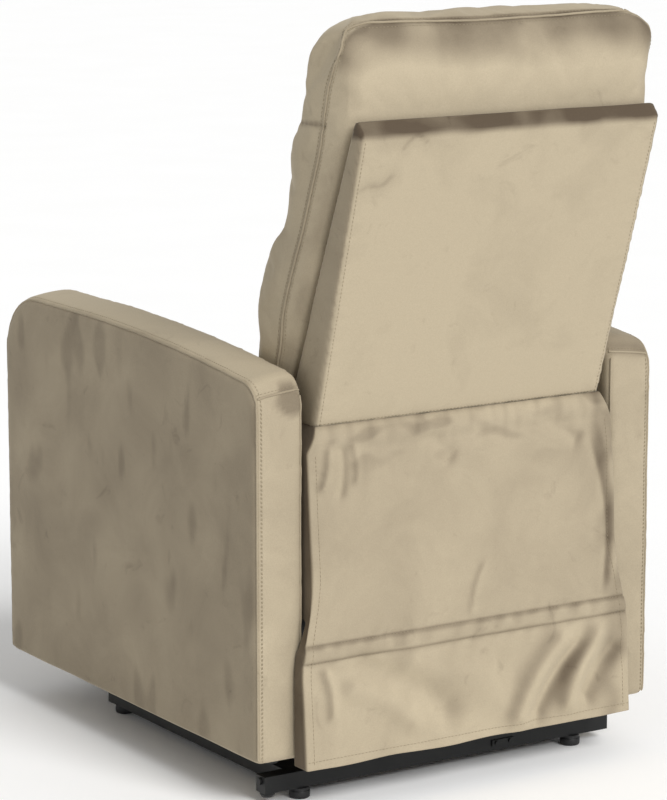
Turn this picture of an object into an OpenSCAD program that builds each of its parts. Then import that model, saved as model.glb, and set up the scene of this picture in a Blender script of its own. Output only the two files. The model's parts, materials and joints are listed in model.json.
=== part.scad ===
// Lift recliner chair. Millimetres, +Z up, the sitter faces -Y.
// The origin is on the floor, under the middle of the chair.
// Side views are drawn as [y, z] points and spread across the chair with across().

/* [Body] */
// Width over the two arms
chair_w = 680; // [640:5:760]
// Depth of the arms, front to back
arm_depth = 746; // [720:2:800]
// Height of the arm tops above the floor
arm_h = 641; // [610:1:680]
// Gap between the floor and the bottom of the arms
under_gap = 73; // [66:1:80]
// Width of one arm
arm_w = 80; // [70:1:95]
// Height of the head cushion's top
back_h = 1106; // [1060:1:1160]

/* [Arms] */
// Radius of an arm's front top corner
arm_front_r = 100; // [60:5:120]
// Radius of an arm's rear top corner
arm_rear_r = 42; // [25:1:60]
// How far the arm top has dropped at its rear end
arm_fall = 30; // [10:1:45]
// Thickness of the foam and fabric on the arm's timber frame
arm_foam = 12; // [8:1:18]
// Thickness of the arm frame's plywood cheeks
ply_t = 12; // [9:1:18]
// Width of the timber between the cheeks
arm_rail = 42; // [30:1:60]

/* [Back] */
// Height of the rear panel's bottom edge
panel_bottom = 535; // [500:1:560]
// Height of the rear panel's top edge
panel_top = 973; // [930:1:1000]
// Gap between the rear panel and the arm beside it
panel_gap = 14; // [8:1:30]
// Lean of the rear panel's front face from upright
back_lean = 23.2; // [18:0.1:26]
// Lean of the rear panel's rear face from upright
panel_lean = 16.8; // [12:0.1:20]
// Horizontal thickness of the rear panel at its bottom edge
panel_t = 81; // [75:1:100]
// Width of the back cushion at the head
head_w = 528; // [500:2:540]
// Thickness of the back cushion, front to back
back_cushion_t = 98; // [80:1:110]

/* [Seat] */
// Height of the seat frame's underside
seat_frame_z = 358; // [356:1:366]
// Height of the seat frame's rails
seat_rail_h = 44; // [36:1:50]
// Thickness of the seat cushion
seat_cushion_t = 84; // [65:1:100]
// Gap between a cushion and the arm beside it
side_gap = 3.4; // [2:0.2:8]

/* [Footrest] */
// Height of the footrest board above the floor
board_z = 88; // [86:1:100]
// Length of the footrest board
board_l = 300; // [270:1:306]
// Thickness of the footrest pad
pad_t = 18; // [12:1:20]

/* [Base] */
// Height of the levelling feet
foot_h = 15.5; // [14:0.5:18]
// Radius of the levelling feet
foot_r = 15; // [12:0.5:18]
// Height of the base tubes
bar_h = 24.5; // [22:0.5:26]
// Width of the base side rails
rail_w = 39; // [34:1:42]
// Wall of the base tubes
tube_wall = 2; // [1.5:0.1:3]
// How far the rear crossbar reaches past each rail
bar_overhang = 43; // [30:1:50]

/* [Links] */
// Thickness of the lift links and their brackets
link_t = 5; // [4:0.5:5]
// Width of the lift links
link_w = 30; // [24:1:34]
// Width of the front lift links
front_link_w = 17; // [14:0.5:17.5]
// Radius of the lift pivot pins
pin_r = 5; // [4:0.1:5]
// Thickness of the footrest links
foot_link_t = 4; // [3:0.5:4]
// Width of the footrest links
foot_link_w = 18; // [14:1:19]
// Radius of the footrest rivets
rivet_r = 4; // [3.2:0.1:4]
// Radial clearance of a pin in a moving link
pin_gap = 0.15; // [0.1:0.01:0.3]
// Radial clearance at the linkages' open pivots
open_gap = 1.8; // [1.6:0.1:2.2]

/* [Hidden] */
$fn = 48;

// Half widths and end faces that other sizes hang on
arm_out = chair_w / 2;
arm_in = arm_out - arm_w;
rear_y = 316;
front_y = rear_y - arm_depth;
panel_w = 2 * (arm_in - panel_gap);
fit = 0.3;

// Side layers of the lift linkage, measured out from the chair's middle
plate_t = 4;
plate_x = arm_in - 12.4;
layer = 8;
front_link_x = plate_x - layer - 1;
bracket_x = front_link_x - layer;
rear_link_x = bracket_x - layer;

// Side layers of the footrest linkage
seat_plate_x = plate_x - 11;
foot_layer = 7;
guide_x = seat_plate_x - foot_layer;
cross_x = guide_x - foot_layer;
long_x = cross_x - foot_layer;
drive_x = long_x - foot_layer;

// Pivots of the lift linkage
lift_a = [-110, 72];
lift_b = [212, 146];
lift_c = [-167, foot_h + bar_h + 10];
lift_d = [40, 92];

// Pivots of the footrest linkage
foot_p1 = [front_y + 111, 344];
foot_p2 = [front_y + 66, 346];
foot_e1 = [front_y + 279, 222];
foot_e2 = [front_y + 244, 235];
foot_q3 = [front_y + 59, 158];
foot_q4 = [front_y + 28, 133];
cross_share_long = 0.7545;
cross_share_cross = 0.6015;

// Hinge of the backrest
hinge = [185, 400];

// Base
bar_top = foot_h + bar_h;
bar_d = 24;
bar_rear = 271;
bar_front = bar_rear - bar_d;
rail_x = arm_in - 3.4 - rail_w;
rail_front = -259;
front_bar_y = -215;
foot_x = rail_x + rail_w / 2;

// Linear actuators
lift_crank_r = 80;
lift_swing = 52;
lift_tail = [228, 68];
lift_motor_x = -70;
back_crank_r = 90;
back_swing = 35;
back_tail = [-200, 168];
back_motor_x = 80;
foot_crank_r = 42;
foot_swing = 114;
rod_r = 8;
crank_pin_r = 5;

function dir(a) = [cos(a), sin(a)];
function angle_of(v) = atan2(v[1], v[0]);
// Middle place of a crank's pin, where the rod from the tail meets the crank squarely
function crank_angle(pivot, tail, r) = angle_of(tail - pivot) + acos(r / norm(tail - pivot));
function crank_mid(pivot, tail, r) = pivot + r * dir(crank_angle(pivot, tail, r));

// Spreads a side view drawn in [y, z] from x to x + t
module across(x, t) {
    translate([x, 0, 0]) rotate([90, 0, 90]) linear_extrude(t) children();
}

// The same on both sides of the chair, from |x| = x outwards
module both(x, t) {
    across(x, t) children();
    across(-x - t, t) children();
}

module pin(p, x1, x2, r) {
    translate([min(x1, x2), p[0], p[1]]) rotate([0, 90, 0]) cylinder(r = r, h = abs(x2 - x1));
}

module pins(p, x1, x2, r) {
    pin(p, x1, x2, r);
    pin(p, -x2, -x1, r);
}

module round_bar(p, x1, x2, r, wall) {
    difference() {
        pin(p, x1, x2, r);
        pin(p, x1 - 1, x2 + 1, r - wall);
    }
}

// A flat link's outline between two pivots, with an eye at each end
module link_outline(a, b, w, ra, rb) {
    difference() {
        union() {
            translate(a) circle(w / 2 + 1);
            translate(b) circle(w / 2 + 1);
            translate(a) rotate(angle_of(b - a)) translate([0, -w / 2])
                square([norm(b - a), w]);
        }
        translate(a) circle(ra);
        translate(b) circle(rb);
    }
}

// A rectangular steel tube along X or Y, open at its ends
module tube_x(x1, x2, y, z, d, h) {
    translate([x1, y, z]) difference() {
        cube([x2 - x1, d, h]);
        translate([-1, tube_wall, tube_wall]) cube([x2 - x1 + 2, d - 2 * tube_wall, h - 2 * tube_wall]);
    }
}

module tube_y(x, y1, y2, z, w, h) {
    translate([x, y1, z]) difference() {
        cube([w, y2 - y1, h]);
        translate([tube_wall, -1, tube_wall]) cube([w - 2 * tube_wall, y2 - y1 + 2, h - 2 * tube_wall]);
    }
}

// ---------------------------------------------------------------- base

bar_end = rail_x + rail_w + bar_overhang;

module base_rear_crossbar() color("#1b1b1c") tube_x(-bar_end, bar_end, bar_front, foot_h, bar_d, bar_h);

module base_front_crossbar() color("#1b1b1c") tube_x(-rail_x, rail_x, front_bar_y, foot_h, bar_d, bar_h);

module base_rail_left() color("#1b1b1c") tube_y(rail_x, rail_front, bar_front, foot_h, rail_w, bar_h);

module base_rail_right() color("#1b1b1c")
    tube_y(-rail_x - rail_w, rail_front, bar_front, foot_h, rail_w, bar_h);

module levelling_feet() color("#141414")
    for (x = [-foot_x, foot_x], y = [rail_front + 18, bar_rear - 9]) translate([x, y, 0]) {
        cylinder(r = foot_r, h = foot_h - 6);
        cylinder(r = foot_r * 0.55, h = foot_h);
    }

module tube_end_plugs() color("#141414") {
    plug = tube_wall + 0.1;
    for (s = [-1, 1]) {
        translate([s * (bar_end - 6) - 6, bar_front + plug, foot_h + plug])
            cube([12, bar_d - 2 * plug, bar_h - 2 * plug]);
        translate([s * (rail_x + rail_w / 2) - rail_w / 2 + plug, rail_front, foot_h + plug])
            cube([rail_w - 2 * plug, 12, bar_h - 2 * plug]);
    }
}

// The bolt in the crossbar's left end and the glide under it
module bar_end_fittings() color("#2a2a2a") {
    bar_mid = (bar_front + bar_rear) / 2;
    pin([bar_mid, foot_h + 17], bar_end, bar_end + 4, 5.3);
    translate([bar_end - 11, bar_mid, foot_h - 7]) cylinder(r1 = 8, r2 = 10.7, h = 4);
    translate([bar_end - 11, bar_mid, foot_h - 3]) cylinder(r = 10.7, h = 3);
}

module cable_clamp() color("#3a3a3c") {
    translate([-127, bar_rear, foot_h + 7]) cube([39, 2.4, 9]);
    translate([-120, bar_rear + 2.4, foot_h + 11.5]) rotate([-90, 0, 0]) cylinder(r = 3.2, h = 2);
    translate([-96, bar_rear + 2.4, foot_h + 11.5]) rotate([-90, 0, 0]) cylinder(r = 3.2, h = 2);
}

// Upright ears on the side rails, with the two lower lift pivots
module base_pivot_brackets() color("#1b1b1c") {
    foot = [lift_c[0] - 18, bar_top];
    both(bracket_x, link_t) difference() {
        union() {
            translate(lift_a) circle(15);
            translate(lift_c) circle(lift_c[1] - bar_top);
            polygon([foot, [lift_a[0] + 24, bar_top], lift_a + [13, 8], lift_a + [-9, 12],
                lift_c + [-8, 6]]);
        }
        translate(lift_a) circle(pin_r);
        translate(lift_c) circle(pin_r);
    }
    pins(lift_a, rear_link_x - 2, bracket_x + link_t, pin_r);
    pins(lift_c, bracket_x, front_link_x + link_t + 0.8, pin_r);
}

// Clevis on the rear crossbar that carries the lift motor's tail
module lift_motor_bracket() color("#1b1b1c") {
    for (x = [lift_motor_x - 26.3, lift_motor_x + 21.3]) across(x, 5) difference() {
        polygon([[bar_front - 32, bar_top], [bar_rear - 2, bar_top], lift_tail + [14, 14],
            lift_tail + [-14, 14]]);
        translate(lift_tail) circle(crank_pin_r);
    }
    pin(lift_tail, lift_motor_x - 28, lift_motor_x + 27, crank_pin_r);
}

// ------------------------------------------------------------ actuators

// Gearbox, motor and outer tube of a linear actuator, its tail eye at the origin, along +X
module actuator(len) {
    gear_l = 62;
    difference() {
        union() {
            translate([12, -21, -19]) cube([gear_l, 42, 38]);
            rotate([90, 0, 0]) translate([0, 0, -15]) cylinder(r = 12, h = 30);
            translate([0, -15, -10]) cube([20, 30, 20]);
            translate([12 + gear_l, 0, 0]) rotate([0, 90, 0]) cylinder(r = 17, h = len - gear_l - 12);
        }
        rotate([90, 0, 0]) translate([0, 0, -20]) cylinder(r = crank_pin_r + pin_gap, h = 40);
        translate([40, 0, 0]) rotate([0, 90, 0]) cylinder(r = rod_r + fit, h = len);
    }
}

// Places a piece drawn along +X on the line from tail to tip, at height of the chair's x
module on_line(tail, tip, x) {
    translate([x, tail[0], tail[1]]) rotate([0, 0, 90]) rotate([0, -angle_of(tip - tail), 0])
        children();
}

// Rod with a slotted yoke at its end; slot_l is across the rod
module rod_and_yoke(start, pin_at, slot_w, slot_l, slot_z, wide) {
    difference() {
        union() {
            translate([start, 0, 0]) rotate([0, 90, 0]) cylinder(r = rod_r, h = pin_at - start - slot_w / 2);
            translate([pin_at - slot_w / 2 - 8, -wide / 2, slot_z - slot_l / 2 - 7])
                cube([slot_w + 15, wide, slot_l + 14]);
        }
        translate([pin_at - slot_w / 2, -wide, slot_z - slot_l / 2]) cube([slot_w, 2 * wide, slot_l]);
    }
}

lift_mid_angle = crank_angle(lift_a, lift_tail, lift_crank_r);
lift_mid = crank_mid(lift_a, lift_tail, lift_crank_r);
lift_reach = norm(lift_mid - lift_tail) - lift_crank_r * sin(lift_swing / 2);
lift_bulge = lift_crank_r * (1 - cos(lift_swing / 2));

module lift_motor() color("#2b2c2e") on_line(lift_tail, lift_mid, lift_motor_x) actuator(lift_reach - 60);

module lift_rod() color("#b9bbbd") on_line(lift_tail, lift_mid, lift_motor_x)
    rod_and_yoke(120, lift_reach, 2 * crank_pin_r + 2, lift_bulge + 2 * crank_pin_r + 2,
        lift_bulge / 2, 14);

back_mid_angle = crank_angle(hinge, back_tail, back_crank_r);
back_mid = crank_mid(hinge, back_tail, back_crank_r);
back_reach = norm(back_mid - back_tail) + back_crank_r * sin(back_swing / 2);
back_bulge = back_crank_r * (1 - cos(back_swing / 2));

module back_motor() color("#2b2c2e") {
    on_line(back_tail, back_mid, back_motor_x) actuator(back_reach - 120);
    for (x = [back_motor_x - 26.3, back_motor_x + 21.3]) across(x, 5) difference() {
        polygon([tube_f + [10, -6], back_tail + [12, -10], back_tail + [8, 12],
            back_tail + [-12, 10], tube_f + [-2, 12]]);
        translate(back_tail) circle(crank_pin_r);
        translate(tube_f) circle(tube_r_out);
    }
    pin(back_tail, back_motor_x - 28, back_motor_x + 27, crank_pin_r);
}

module back_rod() color("#b9bbbd") on_line(back_tail, back_mid, back_motor_x)
    rod_and_yoke(150, back_reach, 2 * crank_pin_r + 1.2, back_bulge + 2 * crank_pin_r + 2,
        back_bulge / 2, 14);

// -------------------------------------------------------- lift linkage

module rear_link() link_outline(lift_a, lift_b, link_w, pin_r + pin_gap, pin_r + pin_gap);

module rear_lift_link_left() color("#242426") across(rear_link_x, link_t) rear_link();

module rear_lift_link_right() color("#242426") across(-rear_link_x - link_t, link_t) rear_link();

// Tube between the rear links, with the crank that the lift motor turns
module lift_torque_tube() color("#242426") {
    tip = lift_a + lift_crank_r * dir(lift_mid_angle - lift_swing / 2);
    round_bar(lift_a, -rear_link_x, rear_link_x, 12.5, 3);
    for (x = [lift_motor_x - 14, lift_motor_x + 9]) across(x, 5)
        link_outline(lift_a, tip, 24, 12, crank_pin_r - 0.5);
    pin(tip, lift_motor_x - 16, lift_motor_x + 16, crank_pin_r);
}

module front_lift_links() color("#242426") both(front_link_x, link_t)
    link_outline(lift_c, lift_d, front_link_w, pin_r + pin_gap, pin_r + open_gap);

// ---------------------------------------------------------- chair frame

tube_f = [-235, 112];
tube_r = [262, 150];
tube_r_out = 12.7;

module mech_outline() difference() {
    polygon([[-252, under_gap + 6], [lift_d[0] + 60, under_gap + 6], [286, 128], [286, 172],
        [hinge[0] + 24, 176], [hinge[0] + 17, hinge[1] + 14], [hinge[0] - 17, hinge[1] + 14],
        [hinge[0] - 24, 176], [-166, 172], [-176, 304], [-214, 304], [-252, 172]]);
    translate(lift_b) circle(pin_r);
    translate(lift_d) circle(pin_r);
    translate(hinge) circle(pin_r);
}

// Steel side plate that carries the arm, the slide rail and the back hinge
module mech_plate(s) {
    across(s > 0 ? plate_x : -plate_x - plate_t, plate_t) mech_outline();
    head = plate_x + plate_t;
    pin(lift_b, s * (rear_link_x - 2), s * head, pin_r);
    pin(lift_d, s * (front_link_x - 2), s * head, pin_r);
    pin(hinge, s * (back_plate_x - 0.1), s * head, pin_r);
}

module mech_plate_left() color("#242426") mech_plate(1);

module mech_plate_right() color("#242426") mech_plate(-1);

module cross_tube_front() color("#242426") round_bar(tube_f, -plate_x, plate_x, tube_r_out, 2);

module cross_tube_rear() color("#242426") round_bar(tube_r, -plate_x, plate_x, tube_r_out, 2);

slide_z = 272;
slide_h = 14;

module seat_slide_rails() color("#8e9092") for (s = [-1, 1])
    translate([s > 0 ? plate_x - 6 : -plate_x, -214, slide_z]) cube([6, 214 + hinge[0] + 17, slide_h]);

// ---------------------------------------------------------------- arms

fall_start = -200;

function arm_top(y) = y < fall_start ? arm_h
    : arm_h - arm_fall * pow((y - fall_start) / (rear_y - arm_rear_r - fall_start), 2);

// Side view of an arm, shrunk by d all round and reaching down to z0
function arm_outline(d, z0) = let (
    yr = rear_y - arm_rear_r,
    zr = arm_top(yr) - arm_rear_r)
    concat([[front_y + d, z0]],
        [for (a = [180:-9:90]) [front_y + arm_front_r, arm_h - arm_front_r] + (arm_front_r - d) * dir(a)],
        [for (i = [1:7]) let (y = front_y + arm_front_r + i / 8 * (yr - front_y - arm_front_r))
            [y, arm_top(y) - d]],
        [for (a = [82:-10:2]) [yr, zr] + (arm_rear_r - d) * dir(a)],
        [[rear_y - d, z0]]);

pocket_y = -318;
pocket_w = 60;
pocket_z = 468;
pocket_h = 88;
handset_t = 11.5;
handset_w = 50;
handset_h = 134;
pocket_wall = 1.4;

// Foam and fabric over the arm, open underneath where it is stapled to the frame
module arm_cover(s) difference() {
    across(s > 0 ? arm_in : -arm_out, arm_w) polygon(arm_outline(0, under_gap));
    across((s > 0 ? arm_in : -arm_out) + arm_foam, arm_w - 2 * arm_foam)
        polygon(arm_outline(arm_foam, under_gap - 1));
}

module arm_cover_left() color("#a2967b") arm_cover(1);

module arm_cover_right() color("#a2967b") arm_cover(-1);

// Two plywood cheeks and the rails between them, inside the arm cover
module arm_frame(s) {
    inner = s > 0 ? arm_in + arm_foam + fit : -arm_out + arm_foam + fit;
    width = arm_w - 2 * (arm_foam + fit);
    d = arm_foam + fit;
    m = d + arm_rail;
    across(inner + ply_t + fit, width - 2 * (ply_t + fit)) difference() {
        polygon(arm_outline(d, under_gap + 2));
        polygon([[front_y + m, under_gap + arm_rail], [front_y + m, arm_h - arm_front_r],
            [front_y + arm_front_r, arm_h - m], [rear_y - m - 20, arm_h - arm_fall - m],
            [rear_y - m, arm_h - arm_fall - m - 20], [rear_y - m, under_gap + arm_rail]]);
    }
    for (x = [inner, inner + width - ply_t]) across(x, ply_t) polygon(arm_outline(d, under_gap + 2));
}

module arm_frame_left() color("#c9a878") arm_frame(1);

module arm_frame_right() color("#c9a878") arm_frame(-1);

// Screws through each side plate into the arm, with their spacers
module arm_bolts() color("#9a9b9d") for (p = [[-205, 135], [-60, 135], [110, 135], [237, 160]]) {
    pins(p, plate_x + plate_t, arm_in, 7);
    pins(p, plate_x - 3.5, plate_x, 6);
}

module arm_glides() color("#141414") for (s = [-1, 1], y = [front_y + 45, rear_y - 30])
    translate([s * (arm_out - arm_w / 2), y, under_gap - 5]) cylinder(r = 11, h = 7);

// Control box and its mains inlet, hung from the front cross tube
module control_box() color("#1d1d1f") {
    translate([-150, tube_f[0] + 13, tube_f[1] - 22]) difference() {
        cube([110, 70, 34]);
        translate([40, 70 - 12, 8]) cube([28, 14, 18]);
    }
}

// Patch pocket on the right arm's outer side
module handset_pocket() color("#a2967b") difference() {
    out = arm_out + handset_t + 2 * fit + pocket_wall;
    translate([-out, pocket_y, pocket_z]) cube([out - arm_out, pocket_w, pocket_h]);
    translate([-out + pocket_wall, pocket_y + pocket_wall, pocket_z + pocket_wall])
        cube([out, pocket_w - 2 * pocket_wall, pocket_h]);
}

handset_x = -arm_out - fit;
handset_y = pocket_y + (pocket_w - handset_w) / 2;
handset_z = pocket_z + pocket_wall + fit;
button_r = 6;
button_proud = 1.2;
button_zs = [handset_z + handset_h - 34, handset_z + handset_h - 16];
button_ys = [handset_y + 14, handset_y + handset_w - 14];

module handset() color("#1e1e20") difference() {
    translate([handset_x - handset_t, handset_y, handset_z]) cube([handset_t, handset_w, handset_h]);
    for (y = button_ys, z = button_zs)
        pin([y, z], handset_x - handset_t - 1, handset_x - handset_t + 5, button_r + fit);
}

module button(i, j) pin([button_ys[i], button_zs[j]], handset_x - handset_t - button_proud,
    handset_x - handset_t + 3.7, button_r);

module button_lift() color("#d8d8d6") button(0, 1);

module button_lower() color("#d8d8d6") button(1, 1);

module button_feet() color("#9c9c9c") button(0, 0);

module button_back() color("#9c9c9c") button(1, 0);

// ---------------------------------------------------------- rear skirt

skirt_t = 3;
hem_z = 66;
band_z = 250;
hem_y = rear_y + 36;
hem_half = arm_in + 20;
knee_z = panel_bottom - 30;
knee_y = rear_y + skirt_t + 2 * fit;
knee_half = arm_in + 2;
band_y = knee_y + (hem_y - knee_y) * (knee_z - band_z) / (knee_z - hem_z);
band_half = knee_half + (hem_half - knee_half) * (knee_z - band_z) / (knee_z - hem_z);

// Hanging cloth through side-view points, lowest first, cut to a half width at each height
module skirt(side, halves) intersection() {
    n = len(side) - 1;
    across(-arm_out, chair_w) polygon(concat(side, [for (i = [n:-1:0]) side[i] - [skirt_t, 0]]));
    translate([0, hem_y + 20, 0]) rotate([90, 0, 0]) linear_extrude(100) polygon(concat(
        [for (i = [0:n]) [-halves[i], side[i][1]]], [for (i = [n:-1:0]) [halves[i], side[i][1]]]));
}

module skirt_lower() color("#bcae90")
    skirt([[hem_y, hem_z], [band_y, band_z]], [hem_half, band_half]);

module skirt_upper() color("#bcae90")
    skirt([[band_y, band_z + fit], [knee_y, knee_z], [rear_y - 3, panel_bottom - fit]],
        [band_half, knee_half, panel_w / 2]);

// ---------------------------------------------------------------- seat

seat_top = seat_frame_z + seat_rail_h;
seat_half = seat_plate_x - fit;
seat_rear = 95;
seat_front = front_y + 30;
rail_t = 20;

// Steel plates under the seat frame, with the two fixed footrest pivots and the runners
module seat_side_plates() color("#242426") {
    both(seat_plate_x, foot_link_t) difference() {
        polygon([[foot_p2[0] - 20, seat_frame_z], [foot_p2[0] - 20, foot_p2[1] - 14],
            [foot_p1[0], foot_p1[1] - 24], [-190, slide_z + slide_h + fit],
            [92, slide_z + slide_h + fit], [92, seat_frame_z]]);
        translate(foot_p1) circle(rivet_r);
        translate(foot_p2) circle(rivet_r);
    }
    pins(foot_p1, drive_x - 3, seat_plate_x + foot_link_t, rivet_r);
    pins(foot_p2, guide_x - 2, seat_plate_x + foot_link_t, rivet_r);
    for (s = [-1, 1], y = [-180, 40]) translate([s > 0 ? seat_plate_x + foot_link_t
        : -plate_x + 1, y, slide_z + slide_h + fit]) cube([plate_x - 1 - seat_plate_x - foot_link_t, 50, 16]);
}

// Timber seat frame on the side plates
module seat_frame() color("#c9a878") {
    side = seat_plate_x + foot_link_t - rail_t;
    for (s = [-1, 1]) translate([s > 0 ? side : -side - rail_t, seat_front, seat_frame_z + fit])
        cube([rail_t, seat_rear - seat_front, seat_rail_h - fit]);
    for (y = [seat_front, seat_rear - rail_t]) translate([-side + fit, y, seat_frame_z + fit])
        cube([2 * (side - fit), rail_t, seat_rail_h - fit]);
}

// Five sinuous springs, as flat strips across the seat frame
module seat_springs() color("#8b8d8f") for (i = [-2:2])
    translate([i * 84 - 24, seat_front + 4, seat_top + fit]) cube([48, seat_rear - seat_front - 8, 4]);

cushion_z = seat_top + 4 + 2 * fit;

module seat_cushion() color("#a99c7f") across(-arm_in + side_gap, 2 * (arm_in - side_gap)) {
    top = cushion_z + seat_cushion_t;
    r = seat_cushion_t / 2;
    polygon(concat([[76, cushion_z], [76, top - 14], [62, top]],
        [for (a = [90:10:270]) [front_y + r - 6, cushion_z + r] + r * dir(a)]));
}

// ------------------------------------------------------------ footrest

foot_tip = foot_p1 + foot_crank_r * dir(foot_swing / 2 - 90);
foot_bulge = foot_crank_r * (1 - cos(foot_swing / 2));
foot_tail = [-20, foot_p1[1] - foot_crank_r + foot_bulge / 2];

module footrest_motor() color("#2b2c2e") {
    on_line(foot_tail, foot_tail - [1, 0], 0) actuator(foot_tail[0] - foot_tip[0] - 54);
    for (x = [-26, 21]) across(x, 5) difference() {
        polygon([foot_tail + [-13, -12], foot_tail + [12, -12], [seat_rear - rail_t, seat_frame_z + 6],
            [seat_rear - rail_t, seat_frame_z + 30], foot_tail + [-13, 14]]);
        translate(foot_tail) circle(crank_pin_r);
    }
    pin(foot_tail, -28, 27, crank_pin_r);
}

module footrest_rod() color("#b9bbbd") on_line(foot_tail, foot_tail - [1, 0], 0)
    rod_and_yoke(120, foot_tail[0] - foot_tip[0], 2 * crank_pin_r + 6,
        foot_bulge + 2 * crank_pin_r + 2, 0, 14);

module footrest_drive_links() color("#303032") {
    both(drive_x, foot_link_t) link_outline(foot_p1, foot_e1, foot_link_w, rivet_r + pin_gap, 0.01);
    pins(foot_e1, drive_x + foot_link_t, long_x + foot_link_t + 1, rivet_r);
    pins(foot_e1, long_x + foot_link_t + fit, long_x + foot_link_t + 2, rivet_r + 2.5);
}

module footrest_torque_tube() color("#303032") {
    round_bar(foot_p1, -drive_x, drive_x, 9, 2.5);
    for (x = [-14, 9]) across(x, 5)
        link_outline(foot_p1, foot_tip, 17, 8.8, crank_pin_r - 0.5);
    pin(foot_tip, -16, 16, crank_pin_r);
}

module footrest_guide_links() color("#303032") {
    both(guide_x, foot_link_t) link_outline(foot_p2, foot_e2, foot_link_w, rivet_r + pin_gap, 0.01);
    pins(foot_e2, cross_x - 1, guide_x, rivet_r);
    pins(foot_e2, cross_x - 2, cross_x - fit, rivet_r + 2.5);
}

foot_x3 = foot_e1 + (foot_q3 - foot_e1) * cross_share_long;

module footrest_long_links() color("#303032") both(long_x, foot_link_t) difference() {
    link_outline(foot_e1, foot_q3, foot_link_w, rivet_r + pin_gap, rivet_r + pin_gap);
    translate(foot_x3) circle(rivet_r + open_gap);
}

module footrest_cross_links() color("#303032") {
    both(cross_x, foot_link_t) link_outline(foot_e2, foot_q4, foot_link_w, rivet_r + pin_gap,
        rivet_r + open_gap);
    pins(foot_x3, long_x - 1, cross_x, rivet_r);
    pins(foot_x3, long_x - 2, long_x - fit, rivet_r + 2.5);
}

board_y = front_y + 15.5;
board_t = 15;

// Angle brackets on the back of the footrest board, with its two pivots
module footrest_brackets() color("#303032") {
    both(drive_x, foot_link_t) polygon([foot_q3 + [10, -4], foot_q3 + [2, 10], [board_y + fit, 220],
        [board_y + fit, 108], foot_q4 + [8, -9]]);
    for (s = [-1, 1]) translate([s > 0 ? drive_x - 16 : -drive_x, board_y + fit, 112]) cube([16, 3, 104]);
    pins(foot_q3, drive_x + foot_link_t, long_x + foot_link_t + 1, rivet_r);
    pins(foot_q3, long_x + foot_link_t + fit, long_x + foot_link_t + 2, rivet_r + 2.5);
    pins(foot_q4, drive_x + foot_link_t, cross_x + foot_link_t + 1, rivet_r);
    pins(foot_q4, cross_x + foot_link_t + fit, cross_x + foot_link_t + 2, rivet_r + 2.5);
}

module footrest_board() color("#c9a878") translate([-arm_in + side_gap + 4, board_y - board_t, board_z + 4])
    cube([2 * (arm_in - side_gap - 4), board_t, board_l - 8]);

module footrest_pad() color("#a99c7f") across(-arm_in + side_gap, 2 * (arm_in - side_gap)) {
    y = board_y - board_t - fit;
    polygon([[y, board_z], [y - pad_t + 5, board_z], [y - pad_t, board_z + 8],
        [y - pad_t, board_z + board_l - 8], [y - pad_t + 5, board_z + board_l], [y, board_z + board_l]]);
}

// ------------------------------------------------------------ backrest

panel_front_y = rear_y - 3 - panel_t;
function back_y(z) = panel_front_y + (z - panel_bottom) * tan(back_lean);
function panel_y(z) = rear_y - 3 + (z - panel_bottom) * tan(panel_lean);

back_plate_x = plate_x - 9;
post_t = 22;
post_d = 26;
post_in = 5;
post_x = back_plate_x - fit - post_t;
post_low = 384;
post_high = panel_top - 40;

// Side view of a back post's stretch, just behind the cushion
module post_outline(z1, z2, d) polygon([[back_y(z1) + post_in, z1], [back_y(z2) + post_in, z2],
    [back_y(z2) + post_in + d, z2], [back_y(z1) + post_in + d, z1]]);

// Two posts and three rails
module back_frame() color("#c9a878") {
    both(post_x, post_t) post_outline(post_low, post_high, post_d - 6);
    for (z = [448, 690, post_high - 50])
        across(-post_x + fit, 2 * (post_x - fit)) post_outline(z, z + 50, post_d - 6);
}

// Three upright springs, as flat strips in front of the rails
module back_springs() color("#8b8d8f") for (i = [-1:1])
    across(i * 110 - 22, 44) polygon([[back_y(470) + fit, 470],
        [back_y(post_high - 20) + fit, post_high - 20],
        [back_y(post_high - 20) + post_in - fit, post_high - 20], [back_y(470) + post_in - fit, 470]]);

// Plates on the posts' outer sides, with the bore that the hinge pin turns in
module back_hinge_plates() color("#242426") both(back_plate_x, 4) difference() {
    union() {
        translate(hinge) circle(17);
        polygon([hinge + [-16, -4], hinge + [16, -6], [back_y(520) + post_in + 18, 520],
            [back_y(520) + post_in + 2, 520]]);
    }
    translate(hinge) circle(pin_r + pin_gap);
}

// Crank below the hinge that the back motor moves
module back_crank() color("#242426") {
    tip = hinge + back_crank_r * dir(back_mid_angle + back_swing / 2);
    for (x = [back_motor_x - 14, back_motor_x + 9]) across(x, 5)
        link_outline([back_y(430) + post_in + 12, 434.5], tip, 24, 0.01, crank_pin_r - 0.5);
    pin(tip, back_motor_x - 16, back_motor_x + 16, crank_pin_r);
}

// Upholstered wedge behind the back, open underneath
module back_panel() color("#bcae90") difference() {
    wall = 4;
    across(-panel_w / 2, panel_w) polygon([[panel_front_y, panel_bottom],
        [panel_y(panel_bottom), panel_bottom],
        [panel_y(panel_top - 20), panel_top - 20], [back_y(panel_top), panel_top]]);
    across(-panel_w / 2 + wall, panel_w - 2 * wall) polygon([[panel_front_y - 1, panel_bottom - 2],
        [panel_y(panel_bottom) - wall, panel_bottom - 2],
        [panel_y(panel_top - 36) - wall, panel_top - 36], [back_y(panel_top - 36) - 1, panel_top - 36]]);
}

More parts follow.
